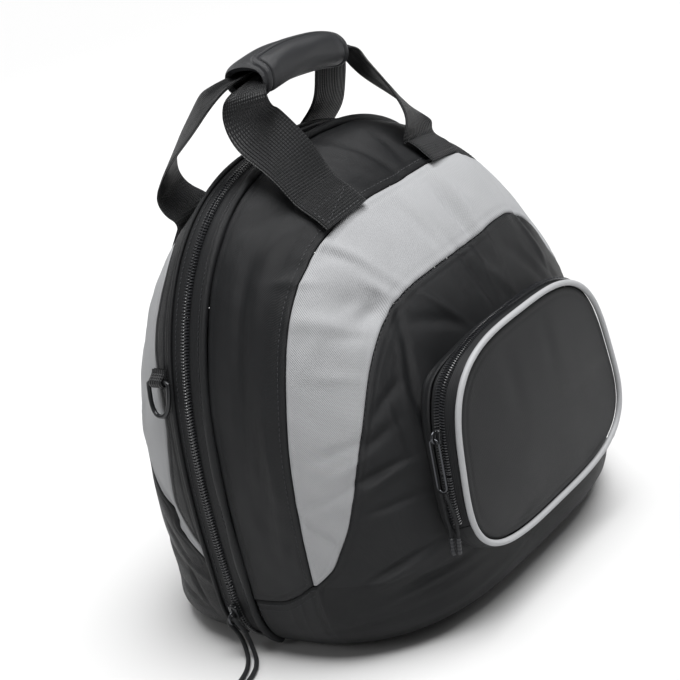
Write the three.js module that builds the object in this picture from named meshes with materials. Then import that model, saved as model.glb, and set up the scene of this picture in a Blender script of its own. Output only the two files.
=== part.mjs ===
// Motorcycle helmet bag: a domed, zip-round bag that stands on a flat base.
// Units are millimetres. X runs along the handles, -Y is the pocket side, +Z is up.
// The origin is on the floor, under the middle of the bag.

import * as THREE from 'three';
import { mergeVertices } from 'three/addons/utils/BufferGeometryUtils.js';

// Body
const bagHalfWidth = 179;
const bagHeight = 335;
const widestHeight = 60;
const archSink = 15;
const archCrownPower = 2.6;
const archFootPower = 3.6;
const wallThickness = 2.5;
const baseThickness = 2.5;
const baseClearance = 5;
const seamGap = 0.42;

// The two half shells: how far each reaches from the main zip, the height of its foremost
// point, and how square its outline is over the crown, at the sides and at the foot
const frontHalf = {
  sign: -1, depth: 162, noseHeight: 42, crownPower: 2.3, sidePower: 2.9, footPower: 2.45,
};
const backHalf = {
  sign: 1, depth: 130, noseHeight: 62, crownPower: 1.75, sidePower: 2.5, footPower: 5.9,
};

// Main zip and the padded welts beside it
const coilHalfWidth = 3;
const coilHalfHeight = 1.7;
const zipTapeWidthFront = 11;
const zipTapeWidthBack = 9.4;
const zipTapeThickness = 1.2;
const zipRecess = 1.2;
const frontWeltRadius = 3.2;
const backWeltRadius = 1.7;
const zipFootHeight = 6;
const zipSliderHeight = 37;
const zipSliderLength = 13;
const zipSliderWidth = 9;
const zipSliderThickness = 4.5;
const bailRadius = 3.7;
const mainBailRadius = 4.7;
const mainBailDrop = 2.5;
const bailWireRadius = 0.9;

// Front pocket
const pocketHalfWidth = 101.5;
const pocketHalfHeight = 75;
const pocketTaper = 0.1;
const pocketPower = 3.33;
const pocketHeight = 128;
const pocketReach = 172;
const pocketSideFlare = 4;
const pocketTopFlare = -5;
const pocketCrown = 5;
const pocketPress = 15;
const pocketWall = 1.8;
const pocketFaceThickness = 2.5;
const pipingRadius = 2.5;
const pocketCoilHalfWidth = 3.4;
const pocketCoilHeight = 1.6;
const coilSeat = 0.45;
const pocketSliderLength = 10;
const pocketSliderWidth = 7.5;
const pocketSliderThickness = 4;
const pocketSliderHeight = 153;
const pullerLength = 39.4;
const pullerLean = 0.082;
const pullerWidth = 9;
const pullerWireRadius = 0.75;

// Handles and their padded wrap
const handleHalfSpan = 60;
const webbingWidth = 42;
const webbingThickness = 2.2;
const foldBulk = 1.4;
const anchorPadding = 1.8;
const wrapLength = 96;
const wrapMiddle = 2;
const wrapWidth = 41;
const wrapDepth = 25.5;
const wrapWall = 4.7;
const wrapEndRounding = 1.6;
const wrapHeight = 387.5;
const wrapArch = 6;
const wrapTilt = 0.055;
const wrapOffset = -15;
const wrapLane = 7.7;
const wrapGather = 0.34;
const frontAnchorStart = 69;
const frontAnchorEnd = 89;
const backAnchorStart = 57;
const backAnchorEnd = 71;

// D-ring and its webbing tab on the left side of the back half
const ringHeight = 213;
const ringOffset = 24;
const ringWidth = 23;
const ringDrop = 28;
const ringWireRadius = 1.7;
const ringClearance = 0.45;
const ringLift = 1.4;
const tabWidth = 13;
const tabLayer = 2;
const tabLength = 9;

// Cords
const mainCordRadius = 1.7;
const pocketCordRadius = 1.2;
const cordEndRadius = 2;
const cordEndLength = 12;

// Edges of the front grey band. along is the share of the half arch from the floor to the
// crown, outer and inner are shares of the front half's depth. The first row is the band's tip.
// slip is how much less inner is on the right side, where the band is sewn a little narrower.
const frontBandTable = [
  { along: 0.174, outer: 0.471, inner: 0.486, slip: 0 },
  { along: 0.184, outer: 0.472, inner: 0.520, slip: 0 },
  { along: 0.204, outer: 0.474, inner: 0.574, slip: 0 },
  { along: 0.234, outer: 0.477, inner: 0.616, slip: 0 },
  { along: 0.282, outer: 0.481, inner: 0.669, slip: 0 },
  { along: 0.341, outer: 0.486, inner: 0.706, slip: 0 },
  { along: 0.400, outer: 0.492, inner: 0.731, slip: 0.004 },
  { along: 0.500, outer: 0.503, inner: 0.760, slip: 0.020 },
  { along: 0.640, outer: 0.506, inner: 0.770, slip: 0.040 },
  { along: 0.740, outer: 0.522, inner: 0.772, slip: 0.030 },
  { along: 0.808, outer: 0.536, inner: 0.777, slip: 0.016 },
  { along: 0.900, outer: 0.550, inner: 0.784, slip: 0.004 },
  { along: 1.000, outer: 0.561, inner: 0.785, slip: 0 },
];

// The same for the back half, whose band comes down to a tip close beside the zip
const backBandTable = [
  { along: 0.195, outer: 0.142, inner: 0.156 },
  { along: 0.217, outer: 0.165, inner: 0.245 },
  { along: 0.240, outer: 0.224, inner: 0.330 },
  { along: 0.270, outer: 0.271, inner: 0.365 },
  { along: 0.300, outer: 0.288, inner: 0.480 },
  { along: 0.345, outer: 0.266, inner: 0.580 },
  { along: 0.430, outer: 0.224, inner: 0.665 },
  { along: 0.520, outer: 0.262, inner: 0.710 },
  { along: 0.580, outer: 0.284, inner: 0.735 },
  { along: 0.700, outer: 0.272, inner: 0.770 },
  { along: 0.840, outer: 0.450, inner: 0.790 },
  { along: 1.000, outer: 0.570, inner: 0.800 },
];

// Height of the seam that runs from the zip to the tip of each band: deep is a share of the
// half's depth, along as above
const frontFootSeam = [
  { deep: 0.134, along: 0.135 },
  { deep: 0.300, along: 0.140 },
  { deep: 0.380, along: 0.152 },
  { deep: 0.471, along: 0.174 },
];
const backFootSeam = [
  { deep: 0.130, along: 0.193 },
  { deep: 0.142, along: 0.195 },
];

// Soft dents and folds of the cloth. along and deep place each one as above, side is -1 for
// the left and 1 for the right, length and breadth are shares of bagHeight, push of wallThickness
const frontDents = [
  { side: 1, along: 0.80, deep: 0.62, length: 0.22, breadth: 0.130, turn: 0, push: -1.6 },
  { side: -1, along: 0.70, deep: 0.70, length: 0.14, breadth: 0.065, turn: 20, push: 2.2 },
  { side: -1, along: 0.64, deep: 0.60, length: 0.10, breadth: 0.040, turn: 60, push: -1.0 },
  { side: 1, along: 0.93, deep: 0.72, length: 0.10, breadth: 0.030, turn: 80, push: 1.2 },
  { side: -1, along: 0.50, deep: 0.30, length: 0.30, breadth: 0.035, turn: 6, push: 1.1 },
  { side: -1, along: 0.40, deep: 0.40, length: 0.26, breadth: 0.030, turn: -4, push: -0.8 },
  { side: 1, along: 0.52, deep: 0.34, length: 0.28, breadth: 0.035, turn: -5, push: 1.0 },
  { side: 1, along: 0.60, deep: 0.66, length: 0.16, breadth: 0.060, turn: 25, push: 1.6 },
];
const backDents = [
  { side: -1, along: 0.30, deep: 0.42, length: 0.18, breadth: 0.050, turn: 35, push: 1.6 },
  { side: 1, along: 0.34, deep: 0.50, length: 0.20, breadth: 0.050, turn: -30, push: 1.6 },
  { side: -1, along: 0.66, deep: 0.55, length: 0.20, breadth: 0.055, turn: 15, push: 1.2 },
  { side: 1, along: 0.80, deep: 0.70, length: 0.16, breadth: 0.060, turn: 50, push: 1.3 },
];

// One leg of each handle, from the wrap down to its sewn end. out is a share of handleHalfSpan,
// reach a share of the half's depth from the main zip, rise a share of bagHeight. turn swings the
// webbing's width from along Y (0 degrees) to along X (90), width is a share of webbingWidth.
const frontLeftLeg = [
  { out: 0.833, reach: 0.139, rise: 1.164, turn: 0, width: 0.34 },
  { out: 0.950, reach: 0.151, rise: 1.155, turn: 2, width: 0.40 },
  { out: 1.020, reach: 0.162, rise: 1.140, turn: 6, width: 0.54 },
  { out: 1.030, reach: 0.158, rise: 1.120, turn: 14, width: 0.84 },
  { out: 1.025, reach: 0.159, rise: 1.096, turn: 26, width: 0.98 },
  { out: 1.010, reach: 0.185, rise: 1.073, turn: 42, width: 1.00 },
  { out: 1.000, reach: 0.247, rise: 1.045, turn: 56, width: 1.00 },
  { out: 1.000, reach: 0.306, rise: 1.018, turn: 68, width: 1.00 },
  { out: 1.000, reach: 0.355, rise: 0.987, turn: 80, width: 1.00 },
  { out: 1.000, reach: 0.395, rise: 0.951, turn: 88, width: 1.00 },
];
const frontRightLeg = [
  { out: 0.900, reach: 0.139, rise: 1.149, turn: 0, width: 0.34 },
  { out: 1.000, reach: 0.151, rise: 1.139, turn: 4, width: 0.42 },
  { out: 1.038, reach: 0.167, rise: 1.124, turn: 16, width: 0.55 },
  { out: 1.038, reach: 0.191, rise: 1.106, turn: 28, width: 0.75 },
  { out: 1.030, reach: 0.235, rise: 1.087, turn: 38, width: 0.92 },
  { out: 1.017, reach: 0.286, rise: 1.066, turn: 43, width: 1.00 },
  { out: 1.017, reach: 0.333, rise: 1.044, turn: 48, width: 1.00 },
  { out: 1.017, reach: 0.383, rise: 1.015, turn: 54, width: 1.00 },
  { out: 1.017, reach: 0.428, rise: 0.989, turn: 62, width: 1.00 },
  { out: 1.017, reach: 0.446, rise: 0.966, turn: 73, width: 1.00 },
  { out: 1.008, reach: 0.437, rise: 0.949, turn: 84, width: 1.00 },
];
const backLeftLeg = [
  { out: 0.833, reach: -0.058, rise: 1.164, turn: 0, width: 0.34 },
  { out: 0.967, reach: -0.042, rise: 1.163, turn: 2, width: 0.40 },
  { out: 1.075, reach: -0.015, rise: 1.157, turn: 18, width: 0.46 },
  { out: 1.133, reach: 0.035, rise: 1.145, turn: 32, width: 0.56 },
  { out: 1.117, reach: 0.108, rise: 1.127, turn: 40, width: 0.70 },
  { out: 1.075, reach: 0.200, rise: 1.104, turn: 46, width: 0.84 },
  { out: 1.033, reach: 0.323, rise: 1.072, turn: 52, width: 0.95 },
  { out: 1.008, reach: 0.431, rise: 1.043, turn: 58, width: 1.00 },
  { out: 1.000, reach: 0.504, rise: 1.015, turn: 62, width: 1.00 },
  { out: 1.000, reach: 0.569, rise: 0.982, turn: 66, width: 1.00 },
  { out: 1.000, reach: 0.581, rise: 0.955, turn: 70, width: 1.00 },
  { out: 1.000, reach: 0.546, rise: 0.932, turn: 78, width: 1.00 },
  { out: 1.000, reach: 0.485, rise: 0.914, turn: 86, width: 1.00 },
  { out: 1.000, reach: 0.438, rise: 0.905, turn: 90, width: 1.00 },
  { out: 1.000, reach: 0.423, rise: 0.894, turn: 90, width: 1.00 },
];
const backRightLeg = [
  { out: 0.900, reach: -0.058, rise: 1.149, turn: 0, width: 0.34 },
  { out: 1.008, reach: -0.050, rise: 1.142, turn: 10, width: 0.42 },
  { out: 1.083, reach: -0.023, rise: 1.124, turn: 40, width: 0.52 },
  { out: 1.075, reach: 0.000, rise: 1.099, turn: 70, width: 0.66 },
  { out: 1.050, reach: 0.015, rise: 1.070, turn: 84, width: 0.76 },
  { out: 1.025, reach: 0.031, rise: 1.043, turn: 88, width: 0.82 },
  { out: 1.008, reach: 0.065, rise: 1.018, turn: 90, width: 0.90 },
  { out: 1.000, reach: 0.119, rise: 0.999, turn: 90, width: 1.00 },
  { out: 1.000, reach: 0.200, rise: 0.973, turn: 90, width: 1.00 },
  { out: 1.000, reach: 0.285, rise: 0.946, turn: 90, width: 1.00 },
  { out: 1.000, reach: 0.358, rise: 0.919, turn: 90, width: 1.00 },
  { out: 1.000, reach: 0.409, rise: 0.900, turn: 90, width: 1.00 },
];

// Routes of the four pull cords' legs, chosen by hand, measured from the bag's own middle line
const cordRoutes = {
  main_pull_cord_a: [
    [-185.6, -0.35, 33.6], [-185.7, -2.8, 33.3], [-185, -5, 29.4], [-183, -5.4, 24.5],
    [-181.6, -5.4, 19], [-180.9, -5.9, 13.2], [-181.2, -7.2, 7.4],
    [-183.4, -10.2, 3.2], [-188, -14.8, 2.1], [-195, -20.2, 2.1], [-203.5, -24, 2.1],
    [-212.5, -26.6, 2.1], [-221.5, -30, 2.1], [-229.5, -35.5, 2.1], [-235.5, -43, 2.1],
  ],
  main_pull_cord_b: [
    [-185.6, 0.35, 33.6], [-185.7, 2.8, 33.3], [-185.4, 5, 29], [-183.8, 3.8, 24],
    [-182.6, 1.8, 19], [-182, 0.3, 13.2], [-182.8, -1.4, 7.4],
    [-185.6, -4.4, 3.2], [-191, -9.2, 2.1], [-199, -14.8, 2.1], [-208, -18.6, 2.1],
    [-217.5, -21, 2.1], [-226.5, -24.4, 2.1], [-234.5, -29.6, 2.1], [-241, -36.6, 2.1],
  ],
  pocket_pull_cord_a: [
    [-112.5, -161.9, 117.1], [-112.6, -163.4, 110], [-112.2, -164.4, 102.5], [-111.6, -164.4, 96],
    [-111.4, -164, 89.5], [-112.2, -163.6, 83.5],
  ],
  pocket_pull_cord_b: [
    [-112.5, -158.3, 117.1], [-112.8, -158.4, 110], [-112.8, -158.2, 102.5], [-112.4, -158, 96],
    [-112.4, -158.2, 89.5], [-113.6, -158.6, 83.5],
  ],
};

// Colours
const blackCloth = { color: 0x2b2c2e, roughness: 0.82, metalness: 0 };
const greyCloth = { color: 0xb9babc, roughness: 0.78, metalness: 0 };
const blackWebbing = { color: 0x26272a, roughness: 0.85, metalness: 0 };
const greyPiping = { color: 0xcfd0d2, roughness: 0.7, metalness: 0 };
const blackNylon = { color: 0x1c1d1f, roughness: 0.5, metalness: 0 };
const blackCord = { color: 0x1a1b1d, roughness: 0.7, metalness: 0 };
const darkMetal = { color: 0x2c2d30, roughness: 0.4, metalness: 0.8 };
const blackPlastic = { color: 0x1d1e20, roughness: 0.45, metalness: 0 };

// The bag reaches further to the front than to the back, so the origin is moved to its middle
const frontReach = pocketReach + pocketCrown;
const frameShift = (frontReach - backHalf.depth) / 2;
const bag = new THREE.Group();
bag.position.y = frameShift;

const degrees = Math.PI / 180;
const fullTurn = 2 * Math.PI;
const mix = (from, to, share) => from + (to - from) * share;
const clamp = (value, low, high) => Math.min(high, Math.max(low, value));
const signedPower = (value, power) => Math.sign(value) * Math.abs(value) ** power;
const evenSteps = (count) => Array.from({ length: count + 1 }, (_, k) => k / count);

// Where a grey band's edge towards the face panel lies
function innerSeam(table, along, isRight) {
  const hasSlip = isRight && 'slip' in table[0];
  return tableValue(table, 'inner', along) - (hasSlip ? tableValue(table, 'slip', along) : 0);
}

// Smooth value of one column of a table, at a place in its key column
function tableValue(table, column, value, key = 'along') {
  const last = table.length - 1;
  const place = clamp(value, table[0][key], table[last][key]);
  let row = 0;
  while (row < last - 1 && table[row + 1][key] < place) {
    row += 1;
  }
  const slope = (k) => {
    const low = table[Math.max(k - 1, 0)];
    const high = table[Math.min(k + 1, last)];
    return (high[column] - low[column]) / (high[key] - low[key]);
  };
  const span = table[row + 1][key] - table[row][key];
  const t = (place - table[row][key]) / span;
  const start = table[row][column];
  const end = table[row + 1][column];
  const bend = 3 * t * t - 2 * t * t * t;
  const easeIn = t * (1 - t) * (1 - t) * span * slope(row);
  const easeOut = t * t * (t - 1) * span * slope(row + 1);
  return start + (end - start) * bend + easeIn + easeOut;
}

// A closed geometry from points and triangles: joins equal points, drops collapsed triangles
// and turns every face outward
function closedGeometry(points, triangles) {
  const raw = new THREE.BufferGeometry().setFromPoints(points);
  raw.setIndex(triangles.flat());
  const merged = mergeVertices(raw, 1e-4);
  const index = Array.from(merged.index.array);
  const place = merged.attributes.position;
  const corner = (k) => new THREE.Vector3().fromBufferAttribute(place, k);
  let kept = [];
  let volume = 0;
  for (let k = 0; k < index.length; k += 3) {
    const [a, b, c] = index.slice(k, k + 3);
    if (a !== b && b !== c && c !== a) {
      kept.push([a, b, c]);
      volume += corner(a).dot(corner(b).cross(corner(c)));
    }
  }
  if (volume < 0) {
    kept = kept.map(([a, b, c]) => [a, c, b]);
  }
  merged.setIndex(kept.flat());
  merged.computeVertexNormals();
  return merged;
}

// A solid through rings of points: a tube with flat ends, or an endless loop
function loft(rings, isLoop = false) {
  const sides = rings[0].length;
  const points = rings.flat();
  const triangles = [];
  const spans = isLoop ? rings.length : rings.length - 1;
  for (let k = 0; k < spans; k += 1) {
    const low = k * sides;
    const high = ((k + 1) % rings.length) * sides;
    for (let j = 0; j < sides; j += 1) {
      const next = (j + 1) % sides;
      triangles.push([low + j, low + next, high + next], [low + j, high + next, high + j]);
    }
  }
  if (!isLoop) {
    const caps = [[0, 1], [(rings.length - 1) * sides, -1]];
    for (const [first, turn] of caps) {
      const middle = new THREE.Vector3();
      const ring = points.slice(first, first + sides);
      ring.forEach((point) => middle.addScaledVector(point, 1 / sides));
      points.push(middle);
      for (let j = 0; j < sides; j += 1) {
        const pair = [first + ((j + 1) % sides), first + j];
        triangles.push(turn > 0 ? [points.length - 1, ...pair] : [points.length - 1, ...pair.reverse()]);
      }
    }
  }
  return closedGeometry(points, triangles);
}

// A sheet of cloth with thickness: cells of an outer and an inner grid, and walls round its edge.
// Columns run round the piece and may join up, rows run across it.
function sheet({ columns, rows, outer, inner, isCell = () => true, joins = false }) {
  const points = [];
  const pointColumns = joins ? columns : columns + 1;
  for (const surface of [outer, inner]) {
    for (let i = 0; i < pointColumns; i += 1) {
      for (let j = 0; j <= rows; j += 1) {
        points.push(surface(i, j));
      }
    }
  }
  const half = pointColumns * (rows + 1);
  const at = (i, j, side) => side * half + (i % pointColumns) * (rows + 1) + j;
  const inside = (i, j) => {
    const column = joins ? (i + columns) % columns : i;
    return column >= 0 && column < columns && j >= 0 && j < rows && isCell(column, j);
  };
  const triangles = [];
  const quad = (a, b, c, d) => triangles.push([a, b, c], [a, c, d]);
  for (let i = 0; i < columns; i += 1) {
    for (let j = 0; j < rows; j += 1) {
      if (inside(i, j)) {
        quad(at(i, j, 0), at(i + 1, j, 0), at(i + 1, j + 1, 0), at(i, j + 1, 0));
        quad(at(i, j, 1), at(i, j + 1, 1), at(i + 1, j + 1, 1), at(i + 1, j, 1));
        if (!inside(i, j - 1)) {
          quad(at(i + 1, j, 0), at(i, j, 0), at(i, j, 1), at(i + 1, j, 1));
        }
        if (!inside(i, j + 1)) {
          quad(at(i, j + 1, 0), at(i + 1, j + 1, 0), at(i + 1, j + 1, 1), at(i, j + 1, 1));
        }
        if (!inside(i - 1, j)) {
          quad(at(i, j, 0), at(i, j + 1, 0), at(i, j + 1, 1), at(i, j, 1));
        }
        if (!inside(i + 1, j)) {
          quad(at(i + 1, j + 1, 0), at(i + 1, j, 0), at(i + 1, j, 1), at(i + 1, j + 1, 1));
        }
      }
    }
  }
  return closedGeometry(points, triangles);
}

function addPiece(name, geometry, finish, parent = bag) {
  const mesh = new THREE.Mesh(geometry, new THREE.MeshStandardMaterial(finish));
  mesh.name = name;
  parent.add(mesh);
  return mesh;
}

// The arch is the bag's outline in the plane of the main zip. Angle 0 is its right side,
// 90 degrees the crown and 180 degrees its left side; below these it turns in under the bag.
function archPoint(angle, inset = 0) {
  const up = Math.sin(angle);
  const power = 2 / (up > 0 ? archCrownPower : archFootPower);
  const reach = (up > 0 ? bagHeight - widestHeight : widestHeight + archSink) - inset;
  return {
    x: (bagHalfWidth - inset) * signedPower(Math.cos(angle), power),
    z: widestHeight + reach * signedPower(up, power),
  };
}

// Lengths along the arch, from under its middle up the left side and over to the right
const archSteps = 1440;
const archAngles = evenSteps(archSteps).map((share) => (1.5 - 2 * share) * Math.PI);
const archLengths = [0];
for (let k = 1; k <= archSteps; k += 1) {
  const here = archPoint(archAngles[k]);
  const before = archPoint(archAngles[k - 1]);
  archLengths.push(archLengths[k - 1] + Math.hypot(here.x - before.x, here.z - before.z));
}

function lookUp(from, to, value) {
  const rising = from[archSteps] > from[0];
  let low = 0;
  let high = archSteps;
  while (high - low > 1) {
    const middle = Math.floor((low + high) / 2);
    if ((from[middle] <= value) === rising) {
      low = middle;
    } else {
      high = middle;
    }
  }
  const share = clamp((value - from[low]) / (from[high] - from[low]), 0, 1);
  return mix(to[low], to[high], share);
}

const angleAtLength = (length) => lookUp(archLengths, archAngles, length);
const lengthAtAngle = (angle) => lookUp(archAngles, archLengths, angle);

// The left side's angle at a height below the widest place
function footAngle(height) {
  const drop = clamp((widestHeight - height) / (widestHeight + archSink), 0, 1);
  return Math.PI + Math.asin(drop ** (archFootPower / 2));
}

// The left side's angle at a height above the widest place
function sideAngle(height) {
  const rise = (height - widestHeight) / (bagHeight - widestHeight);
  return Math.PI - Math.asin(rise ** (archCrownPower / 2));
}

const floorLength = lengthAtAngle(footAngle(0));
const crownLength = archLengths[archSteps] / 2;
const alongToLength = (along) => mix(floorLength, crownLength, along);
const alongAtAngle = (angle) => {
  const length = lengthAtAngle(angle);
  const folded = length > crownLength ? 2 * crownLength - length : length;
  return (folded - floorLength) / (crownLength - floorLength);
};

function halfPower(half, angle) {
  const up = Math.sin(angle);
  return mix(half.sidePower, up > 0 ? half.crownPower : half.footPower, up * up);
}

// How much of the arch is left at a share of the half's depth
const ringScale = (power, share) => (1 - clamp(share, 0, 1) ** power) ** (1 / power);

// The share of the depth at which the body surface meets the floor
function floorShare(half, angle, inset = 0) {
  const foot = archPoint(angle, inset).z;
  if (foot >= 0) {
    return 0;
  }
  const power = halfPower(half, angle);
  return ringScale(power, half.noseHeight / (half.noseHeight - foot));
}

// Depth of the cloth's dents and folds at a place on one half
function dentDepth(dents, half, angle, share) {
  const length = lengthAtAngle(angle);
  let depth = 0;
  for (const dent of dents) {
    const middle = alongToLength(dent.along);
    const dentLength = dent.side < 0 ? middle : 2 * crownLength - middle;
    const across = (share - dent.deep) * half.depth;
    const alongArch = length - dentLength;
    const cos = Math.cos(dent.turn * degrees);
    const sin = Math.sin(dent.turn * degrees);
    const p = (alongArch * cos + across * sin) / (dent.length * bagHeight);
    const q = (across * cos - alongArch * sin) / (dent.breadth * bagHeight);
    depth += dent.push * wallThickness * Math.exp(-4 * (p * p + q * q));
  }
  return depth;
}

// How much wider the pocket is where it is sewn to the body than at its piping
function pocketFlare(up) {
  return mix(pocketSideFlare, pocketTopFlare, smoothStep((up - 0.55) / 0.45));
}

// How far out a point lies in the outline where the pocket meets the body: 0 at its middle,
// 1 on the outline
function pocketGauge(x, z) {
  const above = z - pocketHeight;
  const rise = above / (pocketHalfHeight + (above > 0 ? pocketTopFlare : pocketSideFlare));
  const halfWidth = pocketHalfWidth + pocketSideFlare;
  const side = x / (halfWidth * (1 - pocketTaper * clamp(rise, -1, 1)));
  return (Math.abs(side) ** pocketPower + Math.abs(rise) ** pocketPower) ** (1 / pocketPower);
}

function smoothStep(value) {
  const t = clamp(value, 0, 1);
  return t * t * (3 - 2 * t);
}

// A point of the body's surface, or of the same surface moved in by inset. share goes from 0 at
// the main zip to 1 at the foremost point. The front is pressed in behind the pocket.
function bodyPoint(half, angle, share, inset = 0) {
  const deep = Math.max(share, floorShare(half, angle, inset));
  const arch = archPoint(angle, inset);
  const keep = ringScale(halfPower(half, angle), deep);
  const point = new THREE.Vector3(
    arch.x * keep,
    half.sign * (half.depth - inset) * deep,
    mix(half.noseHeight, arch.z, keep),
  );
  const height = smoothStep(point.z / widestHeight);
  const push = dentDepth(half === frontHalf ? frontDents : backDents, half, angle, deep) * height;
  const outward = new THREE.Vector3(
    point.x / bagHalfWidth ** 2,
    point.y / half.depth ** 2,
    (point.z - widestHeight) / (bagHeight - widestHeight) ** 2,
  ).normalize();
  point.addScaledVector(outward, -push);
  if (half === frontHalf) {
    point.y += pocketPress * smoothStep((0.94 - pocketGauge(point.x, point.z)) / 0.3);
  }
  point.z = Math.max(point.z, 0);
  return point;
}

// Where the smooth front or back surface lies at a place seen from straight ahead
function faceShare(half, x, z) {
  let low = 1e-3;
  let high = 1;
  for (let k = 0; k < 40; k += 1) {
    const keep = (low + high) / 2;
    const archX = Math.abs(x) / keep;
    const archZ = half.noseHeight + (z - half.noseHeight) / keep - widestHeight;
    const power = archZ > 0 ? archCrownPower : archFootPower;
    const reach = archZ > 0 ? bagHeight - widestHeight : widestHeight + archSink;
    const gauge = (archX / bagHalfWidth) ** power + Math.abs(archZ / reach) ** power;
    if (gauge > 1) {
      low = keep;
    } else {
      high = keep;
    }
  }
  const archZ = half.noseHeight + (z - half.noseHeight) / high - widestHeight;
  const reach = archZ > 0 ? bagHeight - widestHeight : widestHeight + archSink;
  const power = archZ > 0 ? archCrownPower : archFootPower;
  const angle = Math.asin(signedPower(clamp(archZ / reach, -1, 1), power / 2));
  return ringScale(halfPower(half, angle), high);
}

// Height of the roof over a place of the plan
function roofHeight(half, x, reach) {
  let low = widestHeight;
  let high = bagHeight;
  for (let k = 0; k < 40; k += 1) {
    const z = (low + high) / 2;
    if (faceShare(half, x, z) * half.depth > reach) {
      low = z;
    } else {
      high = z;
    }
  }
  return low;
}

// Body panels
const topColumns = 32;
const footColumns = 16;
const stripRows = 3;
const flapRows = stripRows + 1;
const faceRows = 6;
const tipCrowding = 1.35;
const halfGap = seamGap / 2;

function seamShare(half, offset) {
  return offset / half.depth;
}

// Lengths along the arch of a strip's columns, closer together near the band's tips
function topLengths(stripAlong) {
  return evenSteps(topColumns).map((share) => {
    const fromTip = 1 - Math.abs(2 * share - 1);
    const along = mix(stripAlong, 1, fromTip ** tipCrowding);
    const length = alongToLength(along);
    return share < 0.5 ? length : 2 * crownLength - length;
  });
}

// A strip of one half between two seams, each given as a share of the depth
function stripPanel(half, seams, rows, nearSeam, farSeam) {
  const tip = seams.table[0].along;
  const columns = evenSteps(rows).map((across) => {
    const foot = mix(nearSeam(tip), farSeam(tip), across);
    return topLengths(tableValue(seams.foot, 'along', foot, 'deep')).map(angleAtLength);
  });
  const place = (inset) => (i, j) => {
    const angle = columns[j][i];
    const along = alongAtAngle(angle);
    const isRight = angle < Math.PI / 2;
    const share = mix(nearSeam(along, isRight), farSeam(along, isRight), j / rows);
    return bodyPoint(half, angle, share, inset);
  };
  return sheet({ columns: topColumns, rows, outer: place(0), inner: place(wallThickness) });
}

// The face panel closes one half. Below the grey band's tips it runs back to the main zip.
function facePanel(half, seams, weltEdge) {
  const lowSeam = (share) => {
    const along = tableValue(seams.foot, 'along', share, 'deep');
    return along - seamGap / (crownLength - floorLength);
  };
  const tip = lowSeam(1);
  const tipShare = seams.table[0].inner + seamShare(half, halfGap);
  const topRing = topLengths(tip).map(angleAtLength);
  const turn = 2 * crownLength;
  const footAngleAt = (column, share) => {
    const reach = alongToLength(lowSeam(share));
    return angleAtLength((turn + mix(-reach, reach, column / footColumns)) % turn);
  };
  const columns = topColumns + footColumns;
  const place = (inset) => (i, j) => {
    const column = i % columns;
    if (j < flapRows) {
      const share = mix(weltEdge, seams.table[0].outer, j / stripRows);
      const footColumn = column >= topColumns ? column - topColumns : footColumns;
      return bodyPoint(half, footAngleAt(footColumn, share), share, inset);
    }
    if (j === flapRows + faceRows) {
      return bodyPoint(half, Math.PI / 2, 1, inset);
    }
    const isTop = column < topColumns;
    const angle = isTop ? topRing[column] : footAngleAt(column - topColumns, tipShare);
    const seam = innerSeam(seams.table, alongAtAngle(angle), angle < Math.PI / 2);
    const nearShare = isTop ? seam + seamShare(half, halfGap) : tipShare;
    const power = halfPower(half, angle);
    const swing = Math.asin(nearShare ** (power / 2));
    const reach = mix(swing, Math.PI / 2, (j - flapRows) / faceRows);
    return bodyPoint(half, angle, Math.sin(reach) ** (2 / power), inset);
  };
  return sheet({
    columns,
    rows: flapRows + faceRows,
    outer: place(0),
    inner: place(wallThickness),
    isCell: (i, j) => j >= flapRows || i >= topColumns,
    joins: true,
  });
}

const frontWeltMiddle = coilHalfWidth + zipTapeWidthFront + 2 * seamGap + frontWeltRadius;
const backWeltMiddle = coilHalfWidth + zipTapeWidthBack + 2 * seamGap + backWeltRadius;
const frontWeltEdge = seamShare(frontHalf, frontWeltMiddle + frontWeltRadius + seamGap);
const backWeltEdge = seamShare(backHalf, backWeltMiddle + backWeltRadius + seamGap);

function buildHalf(side, half, seams, weltEdge) {
  const gap = seamShare(half, halfGap);
  const outerEdge = (shift) => (along) => tableValue(seams.table, 'outer', along) + shift * gap;
  const innerEdge = (along, isRight) => innerSeam(seams.table, along, isRight) - gap;
  const sidePanel = stripPanel(half, seams, stripRows, () => weltEdge, outerEdge(-1));
  const band = stripPanel(half, seams, stripRows, outerEdge(1), innerEdge);
  addPiece(`${side}_side_panel`, sidePanel, blackCloth);
  addPiece(`${side}_grey_band`, band, greyCloth);
  addPiece(`${side}_face_panel`, facePanel(half, seams, weltEdge), blackCloth);
}

buildHalf('front', frontHalf, { table: frontBandTable, foot: frontFootSeam }, frontWeltEdge);
buildHalf('back', backHalf, { table: backBandTable, foot: backFootSeam }, backWeltEdge);

// Base: the outline of both halves on the floor, inside their walls
function baseOutline(inset) {
  const steps = 24;
  const footReach = widestHeight + archSink - inset;
  const lean = Math.asin((widestHeight / footReach) ** (archFootPower / 2));
  const outline = [];
  for (const half of [frontHalf, backHalf]) {
    for (const share of evenSteps(steps).slice(0, steps)) {
      const across = half === frontHalf ? share : 1 - share;
      const angle = mix(Math.PI + lean, 2 * Math.PI - lean, across);
      const deep = floorShare(half, angle, inset);
      const keep = ringScale(halfPower(half, angle), deep);
      const x = archPoint(angle, inset).x * keep;
      outline.push(new THREE.Vector2(x, half.sign * (half.depth - inset) * deep));
    }
  }
  return outline;
}

function buildBase() {
  const shape = new THREE.Shape(baseOutline(wallThickness + baseClearance));
  const geometry = new THREE.ExtrudeGeometry(shape, { depth: baseThickness, bevelEnabled: false });
  addPiece('base_panel', geometry, blackCloth);
}

buildBase();

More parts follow.
